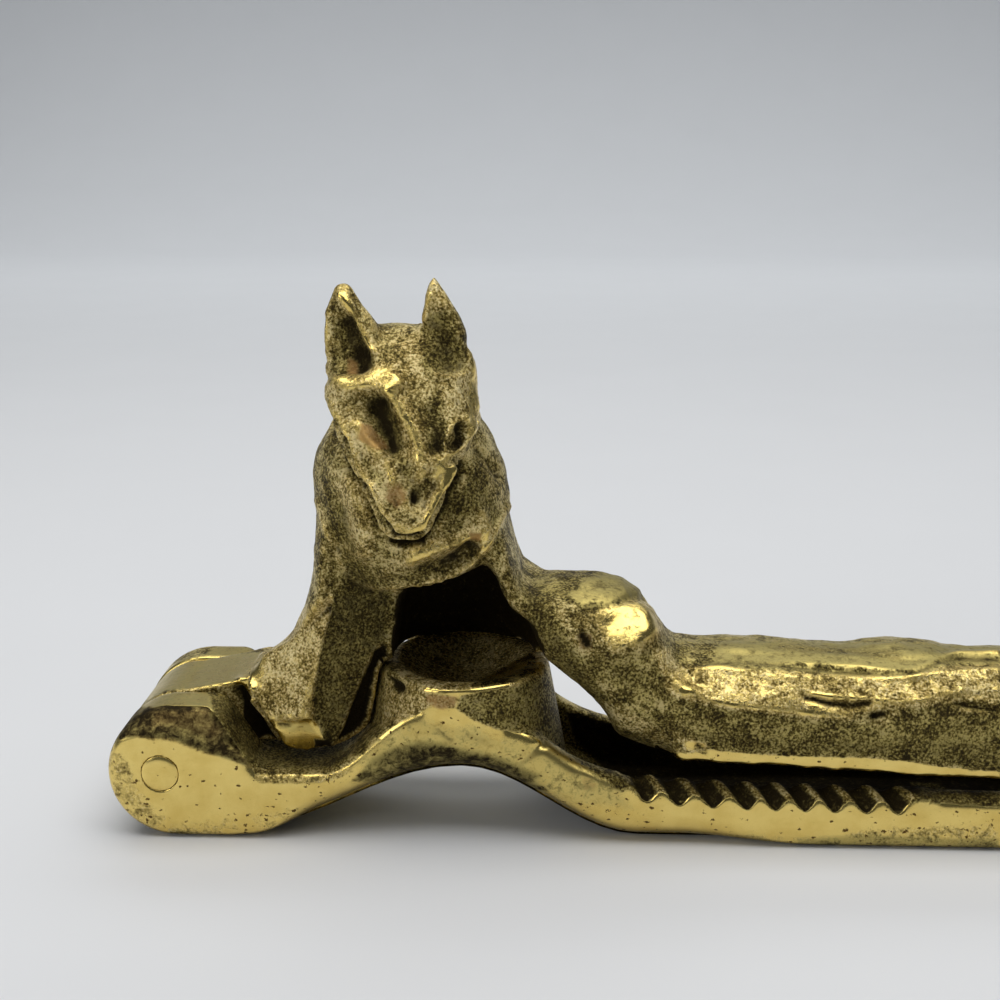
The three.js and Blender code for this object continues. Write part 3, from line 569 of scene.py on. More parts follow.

# Upper lever: outlines and soft edges in pixels, and the finish they are painted with: bright,
# smooth, dark (dirt, and painted shade where marked), copper and pitted from 0 to 1. One that is
# None or left out stays as it is.
UPPER_PATCHES = [
    # Tongue between the ears
    ([126,713, 148,685, 172,665, 202,656, 262,652, 262,668, 240,684, 200,687, 165,691], 3, (0.45, 0.95)),
    # Head
    ([326,290, 350,286, 385,325, 430,325, 428,290, 445,278, 478,400, 470,460, 425,532, 398,532, 350,450,
      328,400], 6, (0.5, 0.1)),
    ([334,318, 352,320, 372,350, 376,368, 352,378, 334,374], 5, (0.25, 0.3, 0.15)),
    # Painted shade in the left ear's hollow
    ([352,350, 368,348, 376,366, 356,372], 5, (None, 0.4, 0.45)),
    ([344,356, 354,358, 357,370, 346,374], 3, (0.4, None, 0, 0.8)),
    ([340,292, 350,298, 366,330, 378,352, 370,354, 354,330, 340,304], 3, (1, 0.4)),
    ([356,300, 382,328, 388,340, 378,346, 362,322], 4, (0.45, 0.3)),
    ([332,287, 350,286, 348,298, 336,300], 3, (0.9, 0.4)),
    ([336,378, 352,374, 372,366, 390,366, 400,384, 396,398, 374,392, 348,394], 5, (1, 0.4)),
    ([388,392, 402,400, 420,430, 426,458, 414,462, 402,430], 7, (0.85, 0.25)),
    # Painted shade in the left eye's hollow
    ([368,402, 384,400, 400,438, 397,456, 382,448], 6, (0.05, 0.5, 0.28)),
    ([361,424, 370,424, 388,446, 376,454, 360,440], 3, (0.6, 0.25, 0, 0.75)),
    ([340,400, 356,402, 362,424, 350,432, 338,412], 5, (0.5, 0.2)),
    ([366,458, 384,456, 386,470, 372,470], 4, (1, 0.1)),
    ([352,452, 384,470, 388,490, 372,484], 6, (0.3, None, 0.15)),
    ([386,466, 394,466, 396,484, 389,484], 3, (1, 0.4)),
    # Painted shade down the muzzle's right side
    ([398,460, 420,464, 424,500, 408,484], 6, (0.2, None, 0.36)),
    ([434,457, 449,458, 451,474, 438,486, 430,478], 5, (0.7, 0.5)),
    ([386,484, 402,482, 408,500, 396,510, 386,502], 4, (0.5, 0.2, None, 0.65)),
    # Painted shade in the nostril
    ([409,490, 420,489, 420,502, 411,503], 4, (None, None, 0.55)),
    ([390,510, 424,506, 420,526, 400,528], 4, (0.45, 0.25)),
    ([424,504, 440,484, 450,472, 452,478, 440,498, 430,522, 422,527], 3, (1, 0.4)),
    ([398,525, 422,524, 422,531, 400,533], 2.5, (1, 0.3)),
    # Painted shade in the right eye
    ([454,420, 470,420, 468,448, 455,450], 4, (None, None, 0.25)),
    # Painted shade before the right eye's ring
    ([428,398, 444,402, 444,450, 430,450], 7, (0.2, None, 0.25)),
    ([424,318, 446,306, 468,345, 466,372, 420,370], 6, (0.15, None, 0.2)),
    ([428,280, 446,280, 452,308, 430,310], 4, (1, 0.15)),
    ([400,340, 420,336, 424,380, 402,384], 8, (0.7,)),
    ([440,374, 470,372, 474,408, 446,416], 6, (0.75, 0)),
    ([472,350, 480,420, 470,450, 466,430, 468,380], 3, (0.7, 0.5)),
    # Painted shadow of the snout, in the crease under the chin
    ([394,535, 424,531, 428,545, 398,548], 3, (None, None, 0.9)),
    # Chest
    ([324,438, 352,470, 400,545, 372,586, 340,566, 312,490], 8, (0.35, 0.05)),
    ([336,470, 360,490, 368,530, 350,540, 334,510], 8, (0.7, 0.05)),
    # Painted shade in the fold at the chest's left
    ([330,500, 344,510, 346,545, 334,530], 6, (0.1, None, 0.3)),
    ([410,556, 435,540, 478,526, 486,534, 470,545, 440,556, 416,566], 4, (1, 0.22)),
    ([474,510, 488,510, 488,548, 476,552], 5, (1, 0.2)),
    # Painted shade in the crease under the paws
    ([442,562, 462,544, 474,546, 470,562, 450,576], 4, (0.5, None, 0.3)),
    ([466,530, 476,530, 476,541, 466,541], 2.5, (None, None, None, 0.9)),
    ([378,560, 440,562, 436,584, 384,584], 7, (0.3, 0.05, 0.2)),
    ([438,486, 470,470, 500,500, 496,530, 470,512, 440,520], 8, (0.15, None, 0.3)),
    ([478,440, 500,460, 508,500, 500,510, 482,480], 5, (0.45, 0.3)),
    # Foreleg
    ([322,520, 345,560, 336,620, 316,610], 5, (0.4, 0.15)),
    ([250,668, 300,610, 330,596, 316,660, 310,722, 272,722, 248,690], 4, (1, 0.25)),
    ([318,640, 334,592, 390,590, 380,650, 350,745, 326,745, 314,700], 4, (0, 0, 0.42)),
    # Painted shade under the chest, above the foreleg
    ([345,560, 390,590, 385,640, 335,640], 8, (0.05, None, 0.5)),
    ([273,724, 292,725, 313,719, 322,734, 327,751, 320,762, 297,763], 2, (1, 1, 0, None, 0.5)),
    ([274,723, 312,721, 318,736, 290,732], 4, (0.4, 1, 0.25)),
    # Painted shade in the pit at the foreleg's foot
    ([314,740, 330,740, 334,758, 318,760], 3, (None, None, 1)),
    ([240,676, 252,660, 272,652, 256,690, 246,692], 3, (0.7, 0.6)),
    # Haunch
    ([532,574, 600,570, 600,594, 536,600], 5, (0.15, 0.35, 0.2)),
    ([570,594, 596,574, 612,570, 640,580, 654,600, 640,599, 625,600, 605,608, 580,608], 7, (0.1, 0.7, 0.42)),
    ([592,614, 612,606, 634,601, 650,606, 657,628, 646,648, 612,653, 600,632], 10, (1, 0.58, 0)),
    ([540,604, 588,610, 600,650, 590,670, 556,640], 6, (0.45, 0.05)),
    ([576,632, 594,632, 594,652, 578,650], 4, (None, None, 0.35, 0.5)),
    ([580,660, 650,650, 700,700, 760,712, 740,748, 660,735, 610,705], 8, (0.2, 0)),
    # Painted shade in the valley below the knee
    ([608,668, 634,664, 650,676, 640,690, 614,688], 7, (0.1, None, 0.15)),
    ([585,690, 600,680, 640,720, 700,738, 690,750, 640,738, 608,716], 5, (0.5, 0.1)),
    # Painted shade along the haunch's inner edge, beside the hollow over the nut
    ([524,588, 544,598, 572,646, 606,700, 592,700, 560,668, 534,634], 8, (0.05, None, 0.4)),
    ([654,650, 668,652, 684,684, 700,692, 690,702, 668,692], 5, (1, 0.2)),
    ([706,712, 760,712, 760,750, 706,748], 7, (0.05, None, 0.3)),
    # Handle
    ([664,640, 1000,646, 1000,656, 940,658, 905,670, 840,667, 780,660, 700,662], 4, (0.1, 0.75, 0.4)),
    ([664,640, 720,642, 712,662, 680,666], 5, (0.2, 0.3, 0.15)),
    ([770,642, 900,652, 905,660, 860,656, 780,650], 4, (0.3, 0.45)),
    ([668,672, 700,668, 760,672, 810,674, 900,678, 905,706, 820,716, 735,708, 690,700, 670,690],
     6, (1, 0.42)),
    ([800,676, 905,674, 940,668, 1000,666, 1000,700, 960,700, 925,706, 880,702, 820,694], 4, (1, 0.36)),
    # Painted shade in the crease below the crown
    ([702,662, 740,658, 780,662, 840,669, 890,672, 915,670, 940,658, 965,655, 1000,657, 1000,662, 945,664,
      915,676, 840,675, 780,668, 702,668], 3, (0.1, 0.5, 0.35)),
    # Painted shade in the folds of the casting
    ([806,695, 830,700, 868,700, 884,712, 878,722, 850,712, 826,708], 2.5, (None, None, 0.25)),
    ([955,701, 980,705, 1000,708, 1000,714, 975,710], 2, (None, None, 0.25)),
    ([700,708, 740,714, 800,722, 880,724, 930,716, 1000,712, 1000,766, 905,757, 740,750, 700,742],
     5, (0.1, 0.05, 0.12)),
    ([700,730, 800,738, 900,740, 1000,742, 1000,768, 905,758, 740,751, 700,744], 8, (0, None, 0.36)),
    ([654,744, 668,752, 690,754, 712,751, 740,753, 780,756, 860,758, 905,761, 940,767, 1000,772, 1000,790,
      860,784, 740,774, 660,764], 2, (1, 1, None, None, 0.5)),
    ([683,741, 706,743, 706,751, 687,751], 3, (1, 0.6)),
]

# Places slid sideways in the view: pixel place, reach, and how far across and down
NUDGES = [
    ((329, 320), 26, -5, 0),
    ((329, 362), 24, -6, 0),
    ((334, 404), 16, -2, 0),
    ((420, 312), 13, -7, 0),
    ((434, 290), 10, -4, 0),
    ((472, 345), 15, -5, 0),
    ((476, 385), 18, -3, 0),
    ((626, 722), 20, -4, 8),
    ((655, 742), 18, 0, 6),
]

# The foreleg's facets: the rough one on its right and the filed one under its foot
LEG_FACET = [334,602, 384,604, 376,650, 364,700, 348,740, 328,750, 315,722, 313,700, 320,660]
FOOT_FACET = [274,724, 292,725, 312,719, 321,735, 326,751, 320,761, 298,762]

# Patches filed flat: outline, soft edge, the way they face (None: as they lie) and how flat
FLAT_PATCHES = [
    ([336,380, 352,374, 372,366, 390,366, 398,384, 392,396, 374,391, 346,394], 4, (-0.15, -0.6, 0.75), 0.7),
    ([598,620, 618,607, 636,605, 647,614, 651,632, 642,650, 612,655, 600,638], 10, (0.05, -0.62, 0.75), 0.8),
    ([576,600, 600,578, 620,576, 642,590, 640,598, 604,604], 7, (0.1, -0.2, 0.97), 0.2),
    ([700,650, 760,650, 840,654, 900,658, 960,652, 1000,652, 1000,657, 965,655, 940,657, 915,669, 890,671,
      840,668, 780,662, 700,662], 3, (0, -0.16, 0.98), 0.8),
    ([672,672, 700,668, 760,674, 800,680, 800,706, 740,702, 700,694], 8, (0, -0.6, 0.78), 0.75),
    ([800,676, 860,680, 915,678, 960,670, 1000,668, 1000,694, 950,692, 905,692, 860,690, 806,688],
     4, (0, -0.62, 0.78), 0.7),
    ([658,650, 670,652, 686,684, 702,694, 690,702, 670,692], 6, (0.1, -0.62, 0.78), 0.3),
    ([250,676, 268,656, 292,640, 318,606, 330,600, 317,660, 310,700, 312,720, 272,722, 256,702],
     3, (-0.4, -0.82, 0.4), 0.75),
    ([412,560, 436,548, 472,534, 474,526, 436,536, 410,548], 5, (0.1, -0.6, 0.75), 0.4),
    (LEG_FACET, 2.5, None, 0.6),
    (FOOT_FACET, 1.5, None, 0.9),
]

# The gaps either side of the foreleg's foot, painted dark as painted shadow; the right one is
# also pushed back
LEG_SLOT_OUTLINE = [240,686, 255,708, 268,728, 295,763, 280,768, 262,768, 254,752, 244,722]
LEG_GAP_OUTLINE = [
    386,646, 376,652, 366,676, 354,704, 346,728, 334,750, 300,765, 296,772, 346,768, 364,746, 380,716,
    388,690, 390,660,
]
LEG_GAP_DEPTH = 1.4

# Upper lever, in millimetres: the parts left sharp, tongue and hood
TONGUE_LIMITS = (15, 22)
HOOD_MIDDLE = 49
HOOD_REACH = 24
HOOD_TOP = 34

# The hood's edge behind the cup, and the lip that hangs down outside the cup
HOOD_FLOOR = 27.4
LIP_RADII = (14.4, 14.8)
LIP_REACH = 15.6
LIP_TOP = 31.5
LIP_DROP = 1.6
LIP_SIDES = (10.5, 12.5)
LIP_FRONT = 9

# Lumps of the casting: size, octaves, seed and height
LUMPS = [(7, 2, 1, 0.25), (2.2, 3, 2, 0.12)]

# The handle's smoother top, and the hollow over the nut, painted dark as painted shade
HANDLE_LIMITS = (84, 90)
NUT_REACH = 13.5
NUT_FRONT = -10
NUT_HEIGHTS = (26, 44)
NUT_SHADE = 0.85

# Worn edges, and painted shade in creases, by how far the surface bends within a few vertices
EDGE_LIMITS = (0.02, 0.1)
CREASE_LIMITS = (0.03, 0.14)

# Lower lever, in millimetres: the arch, and how its sides roll under
ARCH_CURVE = [(11, 0), (24.7, 0), (35.3, 11.8), (49, 11.8)], [(49, 11.8), (59.4, 11.8), (67.6, 0), (78, 0)]
ARCH_ROUNDING = 6
ARCH_ROLL = 4
ARCH_RISE = (14, 26)
ARCH_FALL = (84, 110)
ROLL_SIDES = (9.5, 13.5)

# The rail and its teeth
TOOTH_VALLEYS = [74.2, 79.3, 84.4, 89.9, 95.4, 99.9, 104.7, 109.4, 114.5, 119.6, 124.4]
TOOTH_SLANT = 0.55
TOOTH_RISE = (75, 78.5)
TOOTH_FALL = (120.5, 123.5)
CREST_LIMITS = (0.55, 0.95)
GROOVE_SHARPNESS = 1.3
GROOVE_DEPTHS = (0.7, 1.3)
RAIL_INNER = -9.8
RAIL_OVERLAP = 1.2
RAIL_TOP = [70, 78, 84, 95, 125, 130], [12.2, 11, 10.4, 9.9, 9.4, 9.2]
RAIL_LEAN = 1.3
RAIL_LEAN_CURVE = 1.5
RAIL_LEDGE = 7.2
RAIL_ENDS = (74, 127)
RAIL_RISE = (74, 77)
RAIL_FALL = (124, 126.5)

# The hollow of the front ear, and the ears' holes drawn in to the rivet
EAR_FACE = -11
EAR_DEPTH = 1.7
EAR_SLOPE = (0, 15)
PEEN_DEPTHS = (0.8, 1.6)
PEEN_REACHES = (3.4, 4.6)
PEEN_DRAW = 0.27
PEEN_ROOM = 0.03
PEEN_FLAT = 0.7
EYE_REACH = 5

# Where the filed sides, the trough's painted shade and the dark teeth lie
SIDE_LIMITS = (12, 13.4)
RAIL_START = (66, 72)
TROUGH_START = (56, 64)
TROUGH_END = (176, 179)
TROUGH_SIDE = 10.4
TROUGH_TOP = 13
TROUGH_LEDGE = 8
TEETH_RISE = (75, 78)
TEETH_FALL = (122, 124)
TEETH_SIDE = -8
TEETH_FOOT = 5.5
TEETH_PAINT = {"bright": 0.08, "smooth": 0.1, "grime": 0.8, "pitted": 0}
FILED_EDGE = -9

# Lower lever: pixel places
EAR_ARC = [100,752, 115,741, 140,736, 172,738, 202,750, 230,760, 252,768]
EAR_HOLLOW = [*EAR_ARC[:-2], 250,767, 214,716, 206,708, 140,706, 112,716]
LOWER_STROKES = [
    # Pit and folds on the front of the cup
    ([392,682, 398,688], 6, -1.3),
    ([425,690, 450,692, 480,690, 512,684], 2.5, 0.25),
    ([520,762, 532,752, 546,742], 3.5, -0.5),
    ([468,730, 486,738], 6, -0.25),
    ([438,726, 452,738], 3, -0.4),
    ([584,782, 592,786], 5, -0.3),
    # Torn corner of the ear's hollow
    ([222,750, 236,756, 246,762], 3, 0.3),
]
LOWER_PATCHES = [
    # Knuckle, ears and neck
    # The ear's hollow: copper-brown tarnish, darkened further as painted shade
    (EAR_HOLLOW, 3, (0, 1, 0.72, 0.5)),
    ([150,716, 204,714, 222,736, 214,744, 180,732, 150,730], 5, (None, None, 0.55, 0.6)),
    # Painted shadow in a band along the hollow's arc
    ([130,730, 170,728, 215,746, 240,760, 205,754, 172,742, 140,738], 3, (None, None, 0.65, 0.4)),
    ([128,711, 165,690, 205,686, 215,712, 140,714], 3, (0.45, 0.9)),
    # Painted shade on the ear's flank beside the upper lever
    ([208,690, 240,690, 258,764, 246,764, 214,716], 3, (0.05, 0.3, 0.4)),
    ([150,684, 172,664, 205,655, 226,640, 258,652, 240,660, 180,672], 3, (0.5, 0.85)),
    ([106,752, 122,752, 150,800, 176,830, 150,836, 112,800], 4, (None, 0.6, None, None, 0.8)),
    ([150,812, 200,822, 300,806, 300,822, 230,842, 160,842], 4, (0.8, 0.65, None, None, 0.75)),
    ([168,830, 220,834, 222,846, 170,846], 4, (0.4, 0.3)),
    # Painted shade on the neck under the upper lever's foot
    ([252,744, 340,738, 350,756, 330,772, 258,768], 4, (0.05, 0.1, 0.4)),
    # Painted shade dulling the chamfer along the face's top edge, in place of its glint
    ([250,766, 290,769, 324,769, 344,761, 377,736, 382,740, 348,766, 328,775, 256,775],
     1.5, (0.4, 0.2, 0.3)),
    ([254,775, 328,775, 350,766, 354,772, 330,784, 256,784], 1.5, (0.9, 0.5)),
    ([300,790, 350,770, 372,772, 340,792, 310,802], 5, (None, None, None, None, 0.6)),
    # Cup
    ([384,640, 470,630, 546,644, 548,668, 520,684, 440,690, 400,676], 4, (1, 0, 0, 0.1)),
    ([500,668, 530,652, 546,652, 548,668, 520,684, 470,690, 470,684], 4, (1, 0.6, 0)),
    ([424,688, 460,692, 508,684, 508,687, 460,695, 424,691], 1.5, (1, 1, 0)),
    ([460,695, 510,689, 546,676, 560,716, 568,744, 548,738, 520,733, 494,729, 474,720, 458,710],
     3, (0.15, 0.05, 0.3)),
    ([424,692, 458,696, 456,708, 440,710, 426,704], 3, (0.5, 0.3, None, 0.6)),
    ([382,670, 424,690, 430,708, 404,720, 380,730], 4, (0.8, 0.1)),
    # Painted shade in the pit on the cup's front
    ([387,675, 395,677, 402,683, 403,691, 396,693, 390,688], 3, (0, None, 0.95)),
    ([376,656, 386,668, 384,716, 356,758, 346,760, 364,706], 3, (0.4, 0.35)),
    ([466,726, 482,724, 494,736, 486,750, 470,742], 5, (0.6, None, 0.15, None, 0.8)),
    ([432,724, 444,722, 458,736, 450,742, 438,736], 5, (None, None, 0.4, None, 0.8)),
    ([520,764, 530,750, 548,738, 552,744, 536,758], 3, (None, None, 0.4, 0.3)),
    ([580,776, 594,776, 598,788, 584,792], 3, (None, None, 0.3, 0.5)),
    ([545,668, 562,700, 575,740, 606,772, 640,788, 620,792, 575,765, 552,740], 3, (0.15, 0.1, 0.3)),
    ([520,770, 620,800, 680,826, 640,836, 560,800], 6, (None, None, None, None, 0.65)),
    # The face rolling under into the arch's shadow, painted dark as a painted reflection of it
    ([352,768, 376,742, 420,716, 500,736, 560,746, 622,790, 640,812, 570,806, 520,780, 450,750, 400,762],
     8, (0.5, 0.7, 0.25, None, 0.6)),
    ([350,782, 372,760, 392,749, 418,742, 444,744, 468,751, 500,758, 540,776, 510,796, 440,774, 400,784],
     5, (0.15, None, 0.62)),
    ([396,758, 416,750, 444,748, 474,757, 505,769, 548,790, 520,796, 440,776, 400,776], 4, (0, None, 0.7)),
    # Teeth and bar
    ([600,776, 620,776, 646,790, 640,792], 2, (0.3, 0.2, 0.4)),
    ([910,782, 936,783, 950,790, 1000,791, 1000,808, 950,804, 912,803], 2, (0.1, 0.3, 0.5)),
    ([840,830, 1000,822, 1000,852, 860,850], 6, (0.75, 0.55, None, None, 0.85)),
    ([650,830, 860,838, 860,852, 660,848], 3, (0.5, 0.6)),
    ([800,839, 860,834, 950,838, 1000,838, 1000,854, 800,850], 3, (0.3, None, 0.3)),
]
FILED_FACE = [
    100,765, 104,750, *EAR_ARC[2:-2], 250,767, 290,771, 320,772, 342,765, 376,738, 406,718, 434,710,
    454,710, 474,720, 496,730, 522,732, 552,738, 564,756, 600,778, 640,794,
    648,798, 664,792, 680,801, 696,796, 714,807, 732,800, 748,809, 762,803, 776,811, 790,805, 806,812,
    822,806, 836,813, 852,806, 868,813, 884,806, 900,810, 912,804, 1000,809, 1000,860, 860,860, 640,850,
    590,830, 500,790, 440,770, 400,780, 300,825, 230,850, 150,850, 100,800,
]

# The rivet: how far its ends are domed and rounded, its sides and its finish
RIVET_DOME = 0.03
RIVET_EDGE = 0.06
RIVET_SIDES = 72
RIVET_FINISH = (1, 1, 0, 0, 0.3)

# Paper sweep, in metres: front edge, start and radius of its bend, height and half width
SWEEP_FRONT = -0.75
SWEEP_BEND = 1.3
SWEEP_RADIUS = 0.6
SWEEP_HEIGHT = 2
SWEEP_HALF = 2.6
SWEEP_STEPS = 24
SWEEP_COLOUR = (0.74, 0.75, 0.77)
SWEEP_SHADE = 0.97

# Softboxes: place, target and size in metres, watts, colour and spread in degrees
SOFTBOXES = {
    "top_softbox": ((0, -0.02, 0.75), (0, 0.02, 0), (1.1, 0.62), 5.9, (1, 0.99, 0.97), 180),
    "front_softbox": ((-0.85, -0.62, 0.45), (0, 0, 0.04), (0.6, 0.5), 2.2, (1, 0.99, 0.96), 180),
    "back_softbox": ((0, 1.15, 1.05), (0, 1.151, 0), (2.6, 0.7), 8, (0.98, 1, 1), 128),
}
ROOM_COLOUR = (0.8, 0.88, 1, 1)
ROOM_STRENGTH = 0.1


def wear_edges_and_shade_creases(clay):
    """Bright worn edges, and painted shade in creases, from how the surface bends."""
    bend = ((clay.points - clay.blur(clay.points, times=6)) * clay.normals()).sum(axis=1)
    bend = clay.blur(bend, times=2)
    edge = smooth_step(bend, *EDGE_LIMITS)
    clay.cover(0.6 * edge, bright=1)
    clay.cover(0.3 * edge, smooth=1)
    clay.cover(0.6 * smooth_step(-bend, *CREASE_LIMITS), grime=1)


def arch_height(x):
    """The height of the lower lever's underside along it."""
    t = np.linspace(0, 1, 40)[:, None]
    curves = []
    for curve in ARCH_CURVE:
        a, b, c, d = np.array(curve, float)
        curves.append((1 - t) ** 3 * a + 3 * (1 - t) ** 2 * t * b + 3 * (1 - t) * t ** 2 * c + t ** 3 * d)
    line = np.vstack(curves)
    return np.interp(x, line[:, 0], line[:, 1])


def round_arch(clay):
    """Rolls the lever's sides under along the arch, where they are worn round."""
    x, y, z = clay.points.T
    above = z - arch_height(x)
    radius = ARCH_ROUNDING * between(x, ARCH_RISE, ARCH_FALL) + 1e-6
    depth = np.clip(radius - above, 0, radius)
    inward = radius - np.sqrt(np.maximum(radius ** 2 - depth ** 2, 0))
    front = smooth_step(-y, *ROLL_SIDES)
    back = smooth_step(y, *ROLL_SIDES)
    clay.points[:, 1] += np.minimum(inward, ARCH_ROLL) * (front - back)


def cut_teeth(clay):
    """The rail's top leans forward, crossed by slanting grooves that deepen to the front edge."""
    x, y, z = clay.points.T
    outward = np.clip((RAIL_INNER - y) / (RAIL_INNER - FRONT_FACE), 0, 1)
    shifted = x + TOOTH_SLANT * (y - FRONT_FACE)
    phase = np.interp(shifted, TOOTH_VALLEYS, np.arange(len(TOOTH_VALLEYS)))
    wave = np.cos(2 * math.pi * phase)
    groove = (0.5 + 0.5 * wave) ** GROOVE_SHARPNESS
    # Where the teeth's crests are, for their painted highlights
    clay.crest = smooth_step(0.5 - 0.5 * wave, *CREST_LIMITS)
    inner, added = GROOVE_DEPTHS
    drop = RAIL_LEAN * outward ** RAIL_LEAN_CURVE + groove * (inner + added * outward)
    roof = np.interp(x, *RAIL_TOP) - between(shifted, TOOTH_RISE, TOOTH_FALL) * drop
    rail = (y < RAIL_INNER + RAIL_OVERLAP) & (x > RAIL_ENDS[0]) & (x < RAIL_ENDS[1])
    facing_up = clay.normals()[:, 2] > 0.35
    moved = np.where(rail & ((z > roof) | (facing_up & (z > RAIL_LEDGE))), roof, z)
    clay.points[:, 2] = z + between(x, RAIL_RISE, RAIL_FALL) * (moved - z)


def hollow_ear(clay):
    """The scooped hollow at the top of the front ear."""
    amount = clay.seen_patch(EAR_HOLLOW, soft=0.5) * (clay.points[:, 1] < EAR_FACE)
    above = line_distance(clay.pixels, EAR_ARC)
    clay.points[:, 1] += amount * EAR_DEPTH * smooth_step(above, *EAR_SLOPE)


def close_on_rivet(clay):
    """The ears' holes are drawn in to the rivet where it is peened over."""
    x, y, z = clay.points.T
    away = np.hypot(x, z - RIVET_HEIGHT)
    depth = np.minimum(np.abs(y - FRONT_FACE), np.abs(y - BACK_FACE))
    amount = (1 - smooth_step(depth, *PEEN_DEPTHS)) * (1 - smooth_step(away, *PEEN_REACHES))
    target = np.maximum(away - PEEN_DRAW * amount, RIVET_RADIUS + PEEN_ROOM)
    scale = np.where(away < EYE_REACH, target / np.maximum(away, 1e-6), 1)
    clay.points[:, 0] = x * scale
    clay.points[:, 2] = RIVET_HEIGHT + (z - RIVET_HEIGHT) * scale
    front = (depth < PEEN_FLAT) & (away < EYE_REACH) & (y < 0)
    clay.points[front, 1] = np.minimum(clay.points[front, 1], FRONT_FACE + 0.01)


def hang_lip(clay):
    """The hood's outer edge hangs a little lower behind the cup, so no light shows between them."""
    x, y, z = clay.points.T
    away = np.hypot(x - HOOD_MIDDLE, y)
    share = 1 - smooth_step(np.abs(x - HOOD_MIDDLE), *LIP_SIDES)
    facing_down = clay.normals()[:, 2] < -0.15
    under = (z < LIP_TOP) & (y > LIP_FRONT) & (away < LIP_REACH) & facing_down
    floor = HOOD_FLOOR - LIP_DROP * smooth_step(away, *LIP_RADII)
    clay.points[:, 2] += under * share * (floor - z)


def paint_lower_lever(clay):
    x, y, z = clay.points.T
    normals = clay.normals()
    outward = normals[:, 1] * np.sign(y)
    clay.start_paint(smooth=0.3, bright=0.35)
    beside = np.maximum(smooth_step(np.abs(y), *SIDE_LIMITS), smooth_step(x, *RAIL_START))
    clay.add_paint(smooth_step(outward, 0.7, 0.95) * beside, smooth=0.65, bright=0.5, pitted=0.25)

    # Painted shade in the trough between the rails, away from their tops
    trough = between(x, TROUGH_START, TROUGH_END) * (np.abs(y) < TROUGH_SIDE) * (z < TROUGH_TOP)
    trough *= 1 - smooth_step(normals[:, 2], 0.5, 0.9) * (z > TROUGH_LEDGE)
    clay.add_paint(trough * (outward < 0.3), grime=0.8)

    filed = smooth_step(-normals[:, 1], 0.35, 0.6) * (y < FILED_EDGE)
    clay.cover(clay.seen_patch(FILED_FACE, soft=2) * filed, smooth=1, bright=1, pitted=0.45)
    clay.cover_patches(LOWER_PATCHES)

    teeth = between(x, TEETH_RISE, TEETH_FALL) * (y < TEETH_SIDE) * (z > TEETH_FOOT)
    teeth *= 1 - smooth_step(-normals[:, 1], 0.6, 0.85)
    clay.cover(teeth, **TEETH_PAINT)
    # Painted highlights on the teeth's crests
    clay.cover(0.6 * teeth * clay.crest, bright=0.9, grime=0)


def lower_lever():
    clay = Clay("lower_lever", "lower_lever_brass")
    clay.smooth(times=3, amount=0.5)
    cut_teeth(clay)
    round_arch(clay)
    clay.find_seen()
    hollow_ear(clay)
    close_on_rivet(clay)
    for line, half_width, height in LOWER_STROKES:
        clay.push(height * clay.seen_stroke(line, half_width))
    clay.smooth(times=2, amount=0.4)
    paint_lower_lever(clay)
    clay.keep_clear_of(["upper_lever"])
    clay.finish("base", "filed_brass", brass("filed_brass_old"))


def paint_upper_lever(clay, stroke_light_and_shade, gap_shade):
    x, y, z = clay.points.T
    normals = clay.normals()
    clay.start_paint(smooth=0.1, bright=0.35)
    handle = smooth_step(clay.original[:, 0], *HANDLE_LIMITS)
    clay.add_paint(smooth_step(normals[:, 2], 0.6, 0.95) * handle, smooth=0.4)
    clay.cover_patches(UPPER_PATCHES)
    # Painted highlights on the strokes' ridges and painted shade in their creases
    clay.add_paint(np.clip(stroke_light_and_shade, 0, 1), bright=0.5, smooth=0.15)
    clay.add_paint(np.clip(-stroke_light_and_shade, 0, 1), grime=0.25)
    # Painted shadow in the gaps beside the foreleg's foot
    clay.paint_shade_at_least(0.95 * gap_shade)

    # Painted shade on the inner faces of the hollow over the nut
    low, high = NUT_HEIGHTS
    nut_space = (np.abs(x - HOOD_MIDDLE) < NUT_REACH) & (y > NUT_FRONT) & (z > low) & (z < high)
    inward = -((x - HOOD_MIDDLE) * normals[:, 0] + y * normals[:, 1])
    clay.paint_shade_at_least(NUT_SHADE * nut_space * smooth_step(inward, 0, 4))
    wear_edges_and_shade_creases(clay)


def upper_lever():
    clay = Clay("upper_lever", "upper_lever_brass")
    x, y, z = clay.points.T
    cast = smooth_step(x, *TONGUE_LIMITS)
    hood = (np.abs(x - HOOD_MIDDLE) < HOOD_REACH) & (z < HOOD_TOP) & (y > 0)
    cast = np.where(hood, 0, cast)
    clay.smooth(times=10, amount=0.5 * (0.1 + 0.9 * cast))
    hang_lip(clay)
    lumps = sum(clay.grain(size, octaves, seed) * height for size, octaves, seed, height in LUMPS)
    clay.push(lumps * cast)
    for place, reach, across, down in NUDGES:
        clay.nudge(place, reach, across, down)
    clay.find_seen()
    # Where strokes raise ridges and cut creases, for painted highlights and painted shade
    stroke_light_and_shade = np.zeros(len(clay.points))
    for line, half_width, height in UPPER_STROKES:
        amount = clay.seen_stroke(line, half_width)
        stroke_light_and_shade += np.clip(height, -1, 1) * amount
        clay.push(height * amount)
    for outline, soft, normal, flatness in FLAT_PATCHES:
        clay.flatten(clay.seen_patch(outline, soft), flatness, normal)
    # The gaps beside the foreleg's foot: the right one pushed back, both painted dark as shadow
    gap = clay.seen_patch(LEG_GAP_OUTLINE, soft=2.5)
    slot = clay.seen_patch(LEG_SLOT_OUTLINE, soft=1.5)
    clay.push(-LEG_GAP_DEPTH * gap)
    clay.smooth(times=1, amount=0.4)
    paint_upper_lever(clay, stroke_light_and_shade, np.maximum(gap, slot))
    clay.keep_clear_of(["lower_lever", "hinge_pin"])
    clay.finish("lever", "cast_brass", brass("cast_brass_old"))


